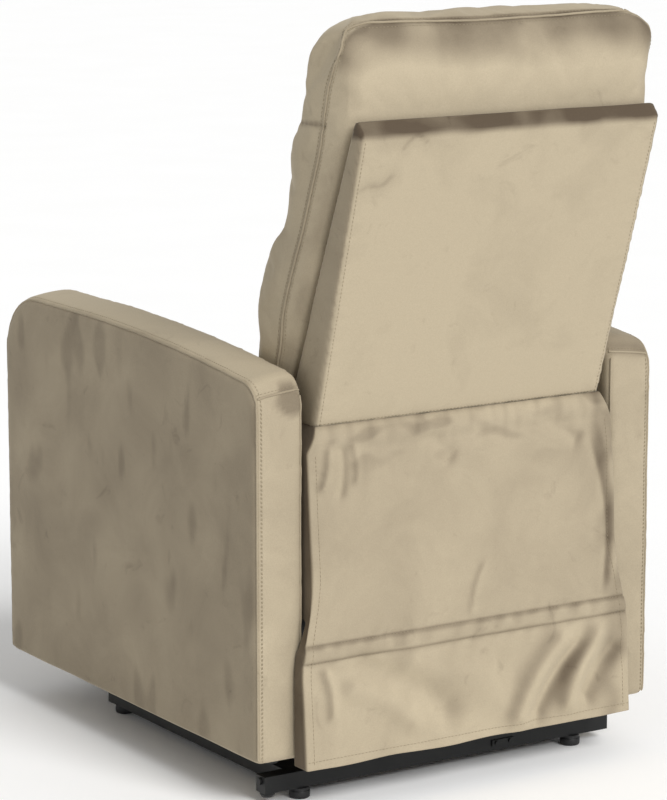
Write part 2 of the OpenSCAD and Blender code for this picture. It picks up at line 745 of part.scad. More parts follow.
module back_cushion() color("#b3a688") {
    gap = 0.6;
    low_z = 440;
    head_z = 967;
    front = function (z) back_y(z) - back_cushion_t - 10 - (z > 600 ? (z - 600) * 0.07 : 0);
    intersection() {
        across(-head_w / 2, head_w) polygon([[back_y(low_z) - gap, low_z], [back_y(head_z) - gap, head_z],
            [back_y(head_z) - 12, head_z + 20], [back_y(head_z) - 14, back_h - 50],
            [back_y(head_z) - 30, back_h - 22], [back_y(head_z) - 60, back_h],
            [back_y(head_z) - 86, back_h - 4],
            [back_y(head_z) - 108, back_h - 60], [front(head_z), head_z], [front(800), 800],
            [front(640), 640],
            [front(500), 500], [front(low_z) + 6, low_z + 16], [front(low_z) + 20, low_z]]);
        translate([0, arm_depth, 0]) rotate([90, 0, 0]) linear_extrude(2 * arm_depth) polygon([
            [-arm_in + side_gap, 0], [arm_in - side_gap, 0], [arm_in - side_gap, arm_h + 8],
            [head_w / 2, arm_h + 30], [head_w / 2, back_h + 1], [-head_w / 2, back_h + 1],
            [-head_w / 2, arm_h + 30], [-arm_in + side_gap, arm_h + 8]]);
    }
}

base_rear_crossbar();
base_front_crossbar();
base_rail_left();
base_rail_right();
levelling_feet();
tube_end_plugs();
bar_end_fittings();
cable_clamp();
base_pivot_brackets();
lift_motor_bracket();
lift_motor();
rear_lift_link_left();
rear_lift_link_right();
lift_torque_tube();
front_lift_links();
lift_rod();
mech_plate_left();
mech_plate_right();
cross_tube_front();
cross_tube_rear();
seat_slide_rails();
arm_cover_left();
arm_cover_right();
arm_frame_left();
arm_frame_right();
arm_bolts();
arm_glides();
back_motor();
control_box();
handset_pocket();
skirt_lower();
skirt_upper();
seat_side_plates();
seat_frame();
seat_springs();
seat_cushion();
footrest_motor();
footrest_rod();
footrest_drive_links();
footrest_torque_tube();
footrest_guide_links();
footrest_long_links();
footrest_cross_links();
footrest_brackets();
footrest_board();
footrest_pad();
back_frame();
back_springs();
back_hinge_plates();
back_crank();
back_panel();
back_cushion();
back_rod();
handset();
button_lift();
button_lower();
button_feet();
button_back();
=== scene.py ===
import json
import math

import bmesh
import bpy
import numpy as np
from mathutils import Euler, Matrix, Vector, kdtree, noise
from mathutils.bvhtree import BVHTree

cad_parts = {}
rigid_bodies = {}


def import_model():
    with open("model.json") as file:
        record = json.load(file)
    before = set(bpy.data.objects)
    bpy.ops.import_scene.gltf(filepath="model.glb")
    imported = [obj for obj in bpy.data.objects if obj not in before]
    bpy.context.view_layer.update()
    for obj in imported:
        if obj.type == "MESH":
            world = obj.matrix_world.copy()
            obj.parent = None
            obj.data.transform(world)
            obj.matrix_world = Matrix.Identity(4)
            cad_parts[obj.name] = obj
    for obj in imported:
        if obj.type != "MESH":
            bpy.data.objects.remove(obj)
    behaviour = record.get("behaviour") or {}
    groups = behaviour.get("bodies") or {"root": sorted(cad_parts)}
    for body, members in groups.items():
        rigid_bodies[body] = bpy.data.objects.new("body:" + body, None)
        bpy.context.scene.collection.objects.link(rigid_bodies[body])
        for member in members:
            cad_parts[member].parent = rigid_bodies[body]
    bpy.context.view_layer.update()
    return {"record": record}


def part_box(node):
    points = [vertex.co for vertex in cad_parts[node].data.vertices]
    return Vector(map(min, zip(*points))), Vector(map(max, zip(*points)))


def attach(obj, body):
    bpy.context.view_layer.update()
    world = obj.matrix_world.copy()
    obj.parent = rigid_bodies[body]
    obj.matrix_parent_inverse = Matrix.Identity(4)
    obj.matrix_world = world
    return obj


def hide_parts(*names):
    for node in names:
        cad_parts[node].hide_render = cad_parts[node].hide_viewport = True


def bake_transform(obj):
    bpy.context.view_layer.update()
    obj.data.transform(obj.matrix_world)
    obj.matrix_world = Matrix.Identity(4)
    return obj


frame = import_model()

MM = 0.001
scene = bpy.context.scene

# ------------------------------------------------------------------ camera
# A long studio lens at chest height, behind the chair and to the sitter's left.
camera_data = bpy.data.cameras.new("camera")
camera_data.lens = 148.2
camera_data.sensor_width = 36.0
camera_data.clip_end = 50.0
camera = bpy.data.objects.new("camera", camera_data)
camera.location = (2.604, 4.0377, 1.4275)
camera_turn, camera_drop = math.radians(147.3), math.radians(10.9)
back = Vector((math.sin(camera_turn) * math.cos(camera_drop),
               -math.cos(camera_turn) * math.cos(camera_drop),
               math.sin(camera_drop)))
camera.rotation_euler = back.to_track_quat("Z", "Y").to_euler()
scene.collection.objects.link(camera)
scene.camera = camera

# ------------------------------------------------------------------ studio
# A pale seamless floor under an even white sky, with one broad soft key light behind the
# chair. Rear faces are lit by both, and side faces by the sky and the floor alone.

scene.view_settings.view_transform = "Standard"


def linear(hex_colour):
    """An sRGB hex colour as linear RGBA."""
    values = [int(hex_colour[i:i + 2], 16) / 255 for i in (1, 3, 5)]
    return tuple(v / 12.92 if v <= 0.04045 else ((v + 0.055) / 1.055) ** 2.4 for v in values) + (1.0,)


def add(tree, kind, inputs=None, **settings):
    """A node with its settings; an input is a value, or another node's output to link."""
    made = tree.nodes.new(kind)
    for name, value in settings.items():
        setattr(made, name, value)
    for name, value in (inputs or {}).items():
        if isinstance(value, bpy.types.NodeSocket):
            tree.links.new(value, made.inputs[name])
        else:
            made.inputs[name].default_value = value
    return made


def new_material(name):
    material = bpy.data.materials.new(name)
    material.use_nodes = True
    material.node_tree.nodes.clear()
    return material, material.node_tree


def finish_material(tree, **inputs):
    """The shader and the output; names use _ for a space."""
    shader = add(tree, "ShaderNodeBsdfPrincipled", {k.replace("_", " "): v for k, v in inputs.items()})
    add(tree, "ShaderNodeOutputMaterial", {"Surface": shader.outputs[0]})


def painted_floor():
    material, tree = new_material("matt_studio_floor")
    place = add(tree, "ShaderNodeTexCoord").outputs["Object"]
    grain = add(tree, "ShaderNodeTexNoise", {"Vector": place, "Scale": 3.0, "Detail": 2.0})
    tone = add(tree, "ShaderNodeMix", {"Factor": grain.outputs["Fac"], "A": linear("#FCFCFB"),
                                       "B": linear("#FFFFFF")}, data_type="RGBA")
    finish_material(tree, Base_Color=tone.outputs["Result"], Roughness=0.85)
    return material


def new_object(name, data):
    made = bpy.data.objects.new(name, data)
    scene.collection.objects.link(made)
    return made


floor_size = 30.0
floor_mesh = bpy.data.meshes.new("floor")
floor_mesh.from_pydata([(x * floor_size, y * floor_size, 0) for x, y in ((-1, -1), (1, -1), (1, 1), (-1, 1))],
                       [], [(0, 1, 2, 3)])
floor = new_object("floor", floor_mesh)
floor_mesh.materials.append(painted_floor())

world = bpy.data.worlds.new("studio")
world.use_nodes = True
world.node_tree.nodes["Background"].inputs["Color"].default_value = linear("#FFFFFF")
world.node_tree.nodes["Background"].inputs["Strength"].default_value = 0.52
scene.world = world

key_data = bpy.data.lights.new("key", "SUN")
key_data.energy = 2.7
key_data.angle = math.radians(28)
key = new_object("key", key_data)
key.rotation_euler = Vector((-0.05, 0.80, 0.60)).to_track_quat("Z", "Y").to_euler()

# ------------------------------------------------------ steel, plastic and timber
# The frame, linkages and actuators keep the shapes they are made to. Each gets the finish
# of its own stock: powder coat, moulded plastic, zinc plate or birch plywood.


def powder_coat():
    """Satin black powder coat: a slight orange peel about 1 mm across, dusty in places."""
    material, tree = new_material("black_powder_coat")
    place = add(tree, "ShaderNodeTexCoord").outputs["Object"]
    peel = add(tree, "ShaderNodeTexNoise", {"Vector": place, "Scale": 1 / (1.1 * MM), "Detail": 2.0})
    dust = add(tree, "ShaderNodeTexNoise", {"Vector": place, "Scale": 1 / (45 * MM), "Detail": 5.0})
    tone = add(tree, "ShaderNodeMix", {"Factor": dust.outputs["Fac"], "A": linear("#0B0C0C"),
                                       "B": linear("#141515")}, data_type="RGBA")
    gloss = add(tree, "ShaderNodeMapRange", {"Value": dust.outputs["Fac"], "From Min": 0.3, "From Max": 0.7,
                                             "To Min": 0.34, "To Max": 0.52})
    bump = add(tree, "ShaderNodeBump", {"Height": peel.outputs["Fac"], "Strength": 0.12, "Distance": 0.0002})
    finish_material(tree, Base_Color=tone.outputs["Result"], Roughness=gloss.outputs[0], Normal=bump.outputs[0],
                    Specular_IOR_Level=0.35)
    return material


def moulded_plastic(name, dark, light, roughness):
    """Injection-moulded polypropylene with a spark-eroded grain of about 0.6 mm."""
    material, tree = new_material(name)
    place = add(tree, "ShaderNodeTexCoord").outputs["Object"]
    grain = add(tree, "ShaderNodeTexVoronoi", {"Vector": place, "Scale": 1 / (0.6 * MM)})
    wear = add(tree, "ShaderNodeTexNoise", {"Vector": place, "Scale": 1 / (25 * MM), "Detail": 4.0})
    tone = add(tree, "ShaderNodeMix", {"Factor": wear.outputs["Fac"], "A": linear(dark),
                                       "B": linear(light)}, data_type="RGBA")
    bump = add(tree, "ShaderNodeBump", {"Height": grain.outputs["Distance"], "Strength": 0.15,
                                        "Distance": 0.0001})
    finish_material(tree, Base_Color=tone.outputs["Result"], Roughness=roughness, Normal=bump.outputs[0])
    return material


def zinc_plate():
    """Bright zinc on rolled steel: faint drawn lines and clouded passivation."""
    material, tree = new_material("zinc_plated_steel")
    place = add(tree, "ShaderNodeTexCoord").outputs["Object"]
    drawn = add(tree, "ShaderNodeMapping", {"Vector": place, "Scale": (1.0, 0.04, 1.0)})
    lines = add(tree, "ShaderNodeTexNoise", {"Vector": drawn.outputs[0], "Scale": 1 / (0.8 * MM), "Detail": 2.0})
    cloud = add(tree, "ShaderNodeTexNoise", {"Vector": place, "Scale": 1 / (18 * MM), "Detail": 4.0})
    tone = add(tree, "ShaderNodeMix", {"Factor": cloud.outputs["Fac"], "A": linear("#8E9194"),
                                       "B": linear("#B9BCBF")}, data_type="RGBA")
    gloss = add(tree, "ShaderNodeMapRange", {"Value": lines.outputs["Fac"], "From Min": 0.3, "From Max": 0.7,
                                             "To Min": 0.26, "To Max": 0.42})
    finish_material(tree, Base_Color=tone.outputs["Result"], Metallic=1.0, Roughness=gloss.outputs[0])
    return material


def birch_plywood():
    """Unfinished birch plywood, with 1.4 mm plies at its cut edges and long pale figure."""
    material, tree = new_material("birch_plywood")
    place = add(tree, "ShaderNodeTexCoord").outputs["Object"]
    plies = add(tree, "ShaderNodeTexWave", {"Vector": place, "Scale": 1 / (9 * MM), "Distortion": 0.3},
                bands_direction="X")
    long_way = add(tree, "ShaderNodeMapping", {"Vector": place, "Scale": (1.0, 0.12, 1.0)})
    figure = add(tree, "ShaderNodeTexNoise", {"Vector": long_way.outputs[0], "Scale": 1 / (7 * MM),
                                              "Detail": 6.0, "Distortion": 0.6})
    both = add(tree, "ShaderNodeMath", {0: figure.outputs["Fac"], 1: plies.outputs["Fac"]}, operation="MULTIPLY")
    tone = add(tree, "ShaderNodeMix", {"Factor": both.outputs[0], "A": linear("#C9A473"),
                                       "B": linear("#E3C79B")}, data_type="RGBA")
    bump = add(tree, "ShaderNodeBump", {"Height": figure.outputs["Fac"], "Strength": 0.2, "Distance": 0.0003})
    finish_material(tree, Base_Color=tone.outputs["Result"], Roughness=0.62, Normal=bump.outputs[0])
    return material


FINISHES = {"steel_black": powder_coat(),
            "plastic_black": moulded_plastic("black_polypropylene", "#0D0D0E", "#171718", 0.5),
            "plastic_grey": moulded_plastic("grey_rubber_keys", "#B4B4B0", "#C6C6C2", 0.6),
            "steel_zinc": zinc_plate(),
            "plywood": birch_plywood()}
for part in frame["record"]["subparts"]:
    if part["material_slot"] in FINISHES:
        node_mesh = bpy.data.objects[part["node"]].data
        node_mesh.materials.clear()
        node_mesh.materials.append(FINISHES[part["material_slot"]])

# ------------------------------------------------------------ levelling feet
# Four solid feet of black polypropylene screwed up into the base tubes. Each is turned
# with a soft lower edge and a slightly narrower shank under the tube.

foot_low, foot_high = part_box("levelling_feet")
FOOT_R = 0.015


def turned(name, profile, centres, sides=40):
    """Solids of revolution about upright axes, from [radius, height] points, lowest first."""
    verts, faces = [], []
    for cx, cy in centres:
        start = len(verts)
        for r, z in profile:
            verts += [(cx + r * math.cos(a), cy + r * math.sin(a), z)
                      for a in (2 * math.pi * i / sides for i in range(sides))]
        rows = len(profile)
        faces += [(start + j * sides + i, start + j * sides + (i + 1) % sides,
                   start + (j + 1) * sides + (i + 1) % sides, start + (j + 1) * sides + i)
                  for j in range(rows - 1) for i in range(sides)]
        faces.append(tuple(start + i for i in reversed(range(sides))))
        faces.append(tuple(start + (rows - 1) * sides + i for i in range(sides)))
    mesh = bpy.data.meshes.new(name)
    mesh.from_pydata(verts, [], faces)
    return new_object(name, mesh)


foot_profile = [(0.0125, 0.0), (0.0140, 0.0006), (0.0148, 0.0018), (FOOT_R, 0.0034), (FOOT_R, 0.0100),
                (0.0146, 0.0108), (0.0138, 0.0112), (0.0136, 0.0116), (0.0136, foot_high.z)]
foot_spots = [(x, y) for x in (foot_low.x + FOOT_R, foot_high.x - FOOT_R) for y in (foot_low.y + FOOT_R, foot_high.y - FOOT_R)]
feet = turned("turned_feet", foot_profile, foot_spots)
feet.data.materials.append(FINISHES["plastic_black"])
feet.data.shade_smooth()
feet.data.set_sharp_from_angle(angle=math.radians(35))
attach(feet, "base")
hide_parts("levelling_feet")

# ---------------------------------------------------------- velvet and thread
# Short-pile polyester velvet in taupe. Its colour runs from a light tone to a dark one: the dark is painted shade on
# faces turned from the light and along seams, folds and gaps, together with random brushed patches; the light is where
# the pile stands up.


def velvet():
    """The nap attribute of a piece is its share of the dark tone, mostly painted shade: 1 is full painted shade, and 0
    is standing pile in full light.
    """
    material, tree = new_material("taupe_velvet")
    place = add(tree, "ShaderNodeTexCoord").outputs["Object"]
    nap_and_painted_shade = add(tree, "ShaderNodeAttribute", attribute_name="nap").outputs["Fac"]
    patches = add(tree, "ShaderNodeTexNoise", {"Vector": place, "Scale": 1 / (120 * MM), "Detail": 4.0,
                                               "Roughness": 0.6, "Distortion": 0.5})
    strokes = add(tree, "ShaderNodeTexNoise", {"Vector": place, "Scale": 1 / (55 * MM), "Detail": 4.0,
                                               "Roughness": 0.6, "Distortion": 1.3})
    cloud = add(tree, "ShaderNodeMapRange", {"Value": patches.outputs["Fac"], "From Min": 0.30,
                                             "From Max": 0.70, "To Min": -0.10, "To Max": 0.10})
    marks = add(tree, "ShaderNodeMapRange", {"Value": strokes.outputs["Fac"], "From Min": 0.60,
                                             "From Max": 0.76, "To Min": 0.0, "To Max": 0.14},
                interpolation_type="SMOOTHSTEP")
    both = add(tree, "ShaderNodeMath", {0: cloud.outputs[0], 1: marks.outputs[0]}, operation="ADD")
    nap_shade_and_patches = add(tree, "ShaderNodeMath", {0: nap_and_painted_shade, 1: both.outputs[0]}, operation="ADD", use_clamp=True)
    # the dark tone here is mostly painted shade brought in by the nap attribute; cloud and marks are random tone
    pile = add(tree, "ShaderNodeMix", {"Factor": nap_shade_and_patches.outputs[0], "A": linear("#B0A38B"),
                                       "B": linear("#54483A")}, data_type="RGBA")
    # the real nap is 0.3 mm, drawn here at 1.6 mm so that it shows
    nap = add(tree, "ShaderNodeTexNoise", {"Vector": place, "Scale": 1 / (1.6 * MM), "Detail": 2.0,
                                           "Roughness": 0.7})
    fleck = add(tree, "ShaderNodeMapRange", {"Value": nap.outputs["Fac"], "From Min": 0.3,
                                             "From Max": 0.7, "To Min": 0.93, "To Max": 1.05})
    toned = add(tree, "ShaderNodeVectorMath", {0: pile.outputs["Result"], "Scale": fleck.outputs[0]},
                operation="SCALE")
    bump = add(tree, "ShaderNodeBump", {"Height": nap.outputs["Fac"], "Strength": 0.2, "Distance": 0.0004})
    finish_material(tree, Base_Color=toned.outputs[0], Roughness=0.8, Normal=bump.outputs[0],
                    Sheen_Weight=0.35, Sheen_Roughness=0.35, Sheen_Tint=linear("#F2EAD8"),
                    Specular_IOR_Level=0.2)
    return material


VELVET = velvet()


def twisted_thread():
    """Bonded polyester thread, a shade darker than the velvet, with its twist as fine bands."""
    material, tree = new_material("polyester_thread")
    place = add(tree, "ShaderNodeTexCoord").outputs["Object"]
    twist = add(tree, "ShaderNodeTexWave", {"Vector": place, "Scale": 260.0, "Distortion": 2.0},
                bands_direction="DIAGONAL")
    tone = add(tree, "ShaderNodeMix", {"Factor": twist.outputs["Fac"], "A": linear("#7C7059"),
                                       "B": linear("#94876D")}, data_type="RGBA")
    finish_material(tree, Base_Color=tone.outputs["Result"], Roughness=0.5)
    return material


THREAD = twisted_thread()

# ------------------------------------------------------------- back cushion
# Foam under one sewn velvet cover, in three rolls: head, shoulders and waist. The cover's
# front wraps round the sides to a double-stitched welt, and a plain band closes its rear.


def rings_to_mesh(name, rings):
    """A closed solid through rings of equal length; its ends are flat caps."""
    count = len(rings[0])
    verts = [tuple(p) for ring in rings for p in ring]
    faces = [(r * count + i, r * count + (i + 1) % count, (r + 1) * count + (i + 1) % count, (r + 1) * count + i)
             for r in range(len(rings) - 1) for i in range(count)]
    faces.append(tuple(range(count)))
    faces.append(tuple((len(rings) - 1) * count + i for i in reversed(range(count))))
    mesh = bpy.data.meshes.new(name)
    mesh.from_pydata(verts, [], faces)
    work = bmesh.new()
    work.from_mesh(mesh)
    bmesh.ops.recalc_face_normals(work, faces=work.faces)
    work.to_mesh(mesh)
    work.free()
    return new_object(name, mesh)


def apply_modifiers(piece):
    """The evaluated mesh becomes the piece's own, with no modifier left."""
    depsgraph = bpy.context.evaluated_depsgraph_get()
    mesh = bpy.data.meshes.new_from_object(piece.evaluated_get(depsgraph))
    piece.modifiers.clear()
    piece.data = mesh


def remesh(piece, size):
    made = piece.modifiers.new("remesh", "REMESH")
    made.mode, made.voxel_size = "VOXEL", size
    apply_modifiers(piece)


def points_of(piece):
    out = np.empty(len(piece.data.vertices) * 3)
    piece.data.vertices.foreach_get("co", out)
    return out.reshape(-1, 3)


def set_points(piece, co):
    piece.data.vertices.foreach_set("co", np.ascontiguousarray(co, dtype=np.float32).ravel())
    piece.data.update()


def normals_of(piece):
    out = np.empty(len(piece.data.vertices) * 3, dtype=np.float32)
    piece.data.vertex_normals.foreach_get("vector", out)
    return out.reshape(-1, 3).astype(float)


def dense(line, step):
    """Points every step along a polyline, with the distance run at each."""
    line = np.asarray(line, float)
    run = np.concatenate([[0], np.cumsum(np.linalg.norm(np.diff(line, axis=0), axis=1))])
    at = np.arange(0, run[-1], step)
    return np.stack([np.interp(at, run, line[:, k]) for k in range(3)], axis=1), at


def nearest_on(points, lines, step=0.004):
    """For each point, its distance to the nearest line and how far along that line it is."""
    samples, runs, offset = [], [], 0.0
    for line in lines:
        p, at = dense(line, step)
        samples.append(p)
        runs.append(at + offset)
        offset += at[-1] + 0.37
    samples, runs = np.concatenate(samples), np.concatenate(runs)
    tree = kdtree.KDTree(len(samples))
    for i, p in enumerate(samples):
        tree.insert(p, i)
    tree.balance()
    found = [tree.find(p) for p in points]
    return np.array([f[2] for f in found]), runs[[f[1] for f in found]]


def inflate(piece, seams, reach, cap, pressure, spare=0.0, frames=20, hold=None):
    """Blows a closed shell up between its seams, as foam does to a sewn cover.
    Points within reach of a seam hardly move, and none moves further than cap."""
    start = points_of(piece)
    far, _ = nearest_on(start, seams)
    held = np.clip(1.25 - far / reach, 0, 1)
    if hold is not None:
        held = np.maximum(held, hold(start))
    group = piece.vertex_groups.new(name="sewn")
    for i in np.nonzero(held > 0.02)[0]:
        group.add([int(i)], float(held[i]), "REPLACE")
    cloth = piece.modifiers.new("cloth", "CLOTH")
    settings = cloth.settings
    settings.quality = 5
    settings.mass = 0.35
    settings.tension_stiffness = settings.compression_stiffness = 18
    settings.shear_stiffness = 8
    settings.bending_stiffness = 0.8
    settings.use_pressure = True
    settings.uniform_pressure_force = pressure
    settings.shrink_min = -spare
    settings.vertex_group_mass = "sewn"
    settings.pin_stiffness = 1.0
    settings.effector_weights.gravity = 0
    cloth.collision_settings.use_collision = False
    cloth.point_cache.frame_start, cloth.point_cache.frame_end = 1, frames
    for f in range(1, frames + 1):
        scene.frame_set(f)
    end = np.empty(len(start) * 3)
    shown = piece.evaluated_get(bpy.context.evaluated_depsgraph_get())
    shown.data.vertices.foreach_get("co", end)
    piece.modifiers.clear()
    scene.frame_set(1)
    move = end.reshape(-1, 3) - start
    size = np.linalg.norm(move, axis=1, keepdims=True)
    move *= np.minimum(1, cap / np.maximum(size, 1e-9))
    set_points(piece, start + move)


def relax(piece, rounds, factor=0.5):
    made = piece.modifiers.new("relax", "SMOOTH")
    made.factor, made.iterations = factor, rounds
    apply_modifiers(piece)


def subdivide(piece):
    made = piece.modifiers.new("subdivide", "SUBSURF")
    made.levels = made.render_levels = 1
    apply_modifiers(piece)


def wander(points, size, seed):
    """A smooth random height from -1 to 1 at each point, with hills about size across."""
    shift = Vector((seed * 3.1, seed * 1.7, seed * 2.3))
    return np.array([noise.noise(Vector(p) / size + shift) for p in points])


def pucker(piece, seams, depth, wave, reach, groove=0.0, seed=1):
    """Small gathers square to a seam, which die out over reach, and the seam's own groove."""
    co, normal = points_of(piece), normals_of(piece)
    far, along = nearest_on(co, seams)
    near = np.nonzero(far < 3.5 * reach)[0]
    fade = np.exp(-far[near] / reach)
    ripple = np.array([noise.noise(Vector((a / wave, f / (6 * reach), seed))) for a, f in zip(along[near], far[near])])
    shift = depth * fade * ripple * 2 - groove * np.exp(-(far[near] / 0.0045) ** 2)
    co[near] += normal[near] * shift[:, None]
    set_points(piece, co)


def roughen(piece, depth, size, seed):
    """Broad soft unevenness of foam under cloth."""
    co, normal = points_of(piece), normals_of(piece)
    set_points(piece, co + normal * (depth * wander(co, size, seed))[:, None])


def on_surface(piece, line, lift, toward=None, step=0.006):
    """The line laid on the piece's surface, straight or along toward, and raised by lift."""
    tree = BVHTree.FromObject(piece, bpy.context.evaluated_depsgraph_get())
    laid = []
    for p in dense(line, step)[0]:
        place = None
        if toward is not None:
            place, normal, _, _ = tree.ray_cast(Vector(p) - 0.05 * Vector(toward), Vector(toward))
        if place is None:
            place, normal, _, _ = tree.find_nearest(p)
        laid.append(tuple(place + normal * lift))
    return laid


def smooth_line(points, rounds=2):
    """Chaikin's corner cutting, which keeps the two ends."""
    points = np.asarray(points, float)
    for _ in range(rounds):
        cut = np.empty((2 * len(points) - 2, points.shape[1]))
        cut[0::2] = 0.75 * points[:-1] + 0.25 * points[1:]
        cut[1::2] = 0.25 * points[:-1] + 0.75 * points[1:]
        points = np.concatenate([points[:1], cut, points[-1:]])
    return points


def curve_of(name, lines):
    data = bpy.data.curves.new(name, "CURVE")
    data.dimensions = "3D"
    for line in lines:
        spline = data.splines.new("POLY")
        spline.points.add(len(line) - 1)
        spline.points.foreach_set("co", [v for p in line for v in (*p, 1.0)])
    return new_object(name, data)


def stitch_tree():
    """Instances a short rounded stitch along every curve, realised as plain mesh."""
    tree = bpy.data.node_groups.new("stitches", "GeometryNodeTree")
    face = tree.interface
    face.new_socket("Geometry", in_out="INPUT", socket_type="NodeSocketGeometry")
    for name in ("Pitch", "Length", "Radius"):
        face.new_socket(name, in_out="INPUT", socket_type="NodeSocketFloat")
    face.new_socket("Material", in_out="INPUT", socket_type="NodeSocketMaterial")
    face.new_socket("Geometry", in_out="OUTPUT", socket_type="NodeSocketGeometry")
    given = add(tree, "NodeGroupInput").outputs
    spots = add(tree, "GeometryNodeCurveToPoints", {"Curve": given["Geometry"], "Length": given["Pitch"]},
                mode="LENGTH")
    ball = add(tree, "GeometryNodeMeshIcoSphere", {"Radius": 1.0, "Subdivisions": 1})
    half = add(tree, "ShaderNodeMath", {0: given["Length"], 1: 0.5}, operation="MULTIPLY")
    size = add(tree, "ShaderNodeCombineXYZ", {"X": given["Radius"], "Y": given["Radius"], "Z": half.outputs[0]})
    placed = add(tree, "GeometryNodeInstanceOnPoints", {"Points": spots.outputs["Points"],
                                                        "Instance": ball.outputs["Mesh"],
                                                        "Rotation": spots.outputs["Rotation"],
                                                        "Scale": size.outputs[0]})
    real = add(tree, "GeometryNodeRealizeInstances", {"Geometry": placed.outputs[0]})
    painted = add(tree, "GeometryNodeSetMaterial", {"Geometry": real.outputs[0], "Material": given["Material"]})
    add(tree, "NodeGroupOutput", {"Geometry": painted.outputs[0]})
    return tree


STITCHES = stitch_tree()


def grow(piece, tree, **values):
    """Runs a node tree on a piece, and keeps its result as the piece's plain mesh."""
    made = piece.modifiers.new("grow", "NODES")
    made.node_group = tree
    for item in tree.interface.items_tree:
        if item.in_out == "INPUT" and item.name in values:
            made[item.identifier] = values[item.name]
    mesh = bpy.data.meshes.new_from_object(piece.evaluated_get(bpy.context.evaluated_depsgraph_get()))
    name = piece.name
    bpy.data.objects.remove(piece)
    return new_object(name, mesh)


def sew(name, piece, lines, pitch=0.0058, length=0.0042, radius=0.00045, toward=None):
    """Rows of stitches laid on a piece."""
    laid = [on_surface(piece, line, 0.0002, toward) for line in lines]
    return grow(curve_of(name, laid), STITCHES, Pitch=pitch, Length=length, Radius=radius, Material=THREAD)


def welt_tree():
    """Sweeps a flattened round section along every curve."""
    tree = bpy.data.node_groups.new("welt", "GeometryNodeTree")
    face = tree.interface
    face.new_socket("Geometry", in_out="INPUT", socket_type="NodeSocketGeometry")
    face.new_socket("Radius", in_out="INPUT", socket_type="NodeSocketFloat")
    face.new_socket("Material", in_out="INPUT", socket_type="NodeSocketMaterial")
    face.new_socket("Geometry", in_out="OUTPUT", socket_type="NodeSocketGeometry")
    given = add(tree, "NodeGroupInput").outputs
    section = add(tree, "GeometryNodeCurvePrimitiveCircle", {"Resolution": 8, "Radius": given["Radius"]})
    swept = add(tree, "GeometryNodeCurveToMesh", {"Curve": given["Geometry"],
                                                  "Profile Curve": section.outputs["Curve"], "Fill Caps": True})
    round_side = add(tree, "GeometryNodeSetShadeSmooth", {"Geometry": swept.outputs[0]})
    painted = add(tree, "GeometryNodeSetMaterial", {"Geometry": round_side.outputs[0],
                                                    "Material": given["Material"]})
    add(tree, "NodeGroupOutput", {"Geometry": painted.outputs[0]})
    return tree


WELT = welt_tree()


def welt(name, piece, lines, radius, material, sink=0.4):
    """A cloth-covered edge along a seam, sunk into the piece by a share of its radius."""
    laid = [smooth_line(on_surface(piece, line, radius * (1 - 2 * sink)), 1) for line in lines]
    return grow(curve_of(name, laid), WELT, Radius=radius, Material=material)


def step(values, low, high):
    """0 below low, 1 above high, smooth between."""
    t = np.clip((values - low) / (high - low), 0, 1)
    return t * t * (3 - 2 * t)


def set_nap_and_painted_shade(piece, values):
    """Stores the nap attribute at each point: the share of the dark velvet tone, mostly painted shade, and darker still
    in a seam's painted shade.
    """
    made = piece.data.attributes.new("nap", "FLOAT", "POINT")
    made.data.foreach_set("value", np.ascontiguousarray(values, dtype=np.float32))


# painted shade in a seam's groove
def seam_shade(piece, seams, width=0.0035):
    far, _ = nearest_on(points_of(piece), seams)
    return 0.6 * np.exp(-(far / width) ** 2)


def upholster(piece, body, nap, *nodes, fill=0.8):
    """Covers a finished soft piece in velvet, sets its nap, attaches it to its body, and hides the parts it stands for.
    """
    piece.data.materials.clear()
    piece.data.materials.append(VELVET)
    piece.data.shade_smooth()
    set_nap_and_painted_shade(piece, nap)
    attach(piece, body)
    if nodes:
        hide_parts(*nodes)


def trim(piece, body, nap=0.3):
    """Thread and welts ride with the piece that they are sewn to."""
    piece.data.shade_smooth()
    set_nap_and_painted_shade(piece, np.full(len(piece.data.vertices), nap))
    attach(piece, body)


head_low, head_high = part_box("back_cushion")
panel_low, panel_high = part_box("back_panel")
arm_low, arm_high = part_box("arm_cover_left")
CUSHION_HALF = 0.262
WAIST_HALF = arm_low.x - 0.0045
SHOULDER_SEAM, HEAD_SEAM = 0.806, 0.957
BACK_LEAN = math.tan(math.radians(23.2))


def catmull(points, per=8):
    """A smooth curve through the points."""
    p = np.asarray(points, float)
    p = np.concatenate([[2 * p[0] - p[1]], p, [2 * p[-1] - p[-2]]])
    out = []
    for i in range(1, len(p) - 2):
        for t in np.arange(per) / per:
            out.append(0.5 * (2 * p[i] + (p[i + 1] - p[i - 1]) * t
                              + (2 * p[i - 1] - 5 * p[i] + 4 * p[i + 1] - p[i + 2]) * t * t
                              + (3 * p[i] - p[i - 1] - 3 * p[i + 1] + p[i + 2]) * t ** 3))
    out.append(p[-2])
    return np.array(out)


# Side view, [y, z]: the front face from the seat up, then over the top, then down the rear
front_side = catmull([(0.098, 0.452), (0.129, 0.545), (0.153, 0.631), (0.171, 0.697), (0.193, 0.745),
                      (0.218, 0.786), (0.249, 0.809), (0.253, 0.840), (0.259, 0.880), (0.265, 0.921),
                      (0.275, 0.946), (0.291, 0.960), (0.293, 0.985), (0.301, 1.020), (0.316, 1.055),
                      (0.335, 1.088), (0.358, 1.104)])
rear_side = catmull([(0.382, 1.097), (0.399, 1.069), (0.387, 1.038), (0.373, 1.005), (0.362, 0.961),
                     (0.354, 0.923), (0.336, 0.874), (0.311, 0.810), (0.283, 0.746), (0.259, 0.688),
                     (0.246, 0.644), (0.222, 0.580), (0.176, 0.460)])


def panel_front(z):
    """The rear panel's front face, in side view."""
    return panel_low.y + (z - panel_low.z) * BACK_LEAN


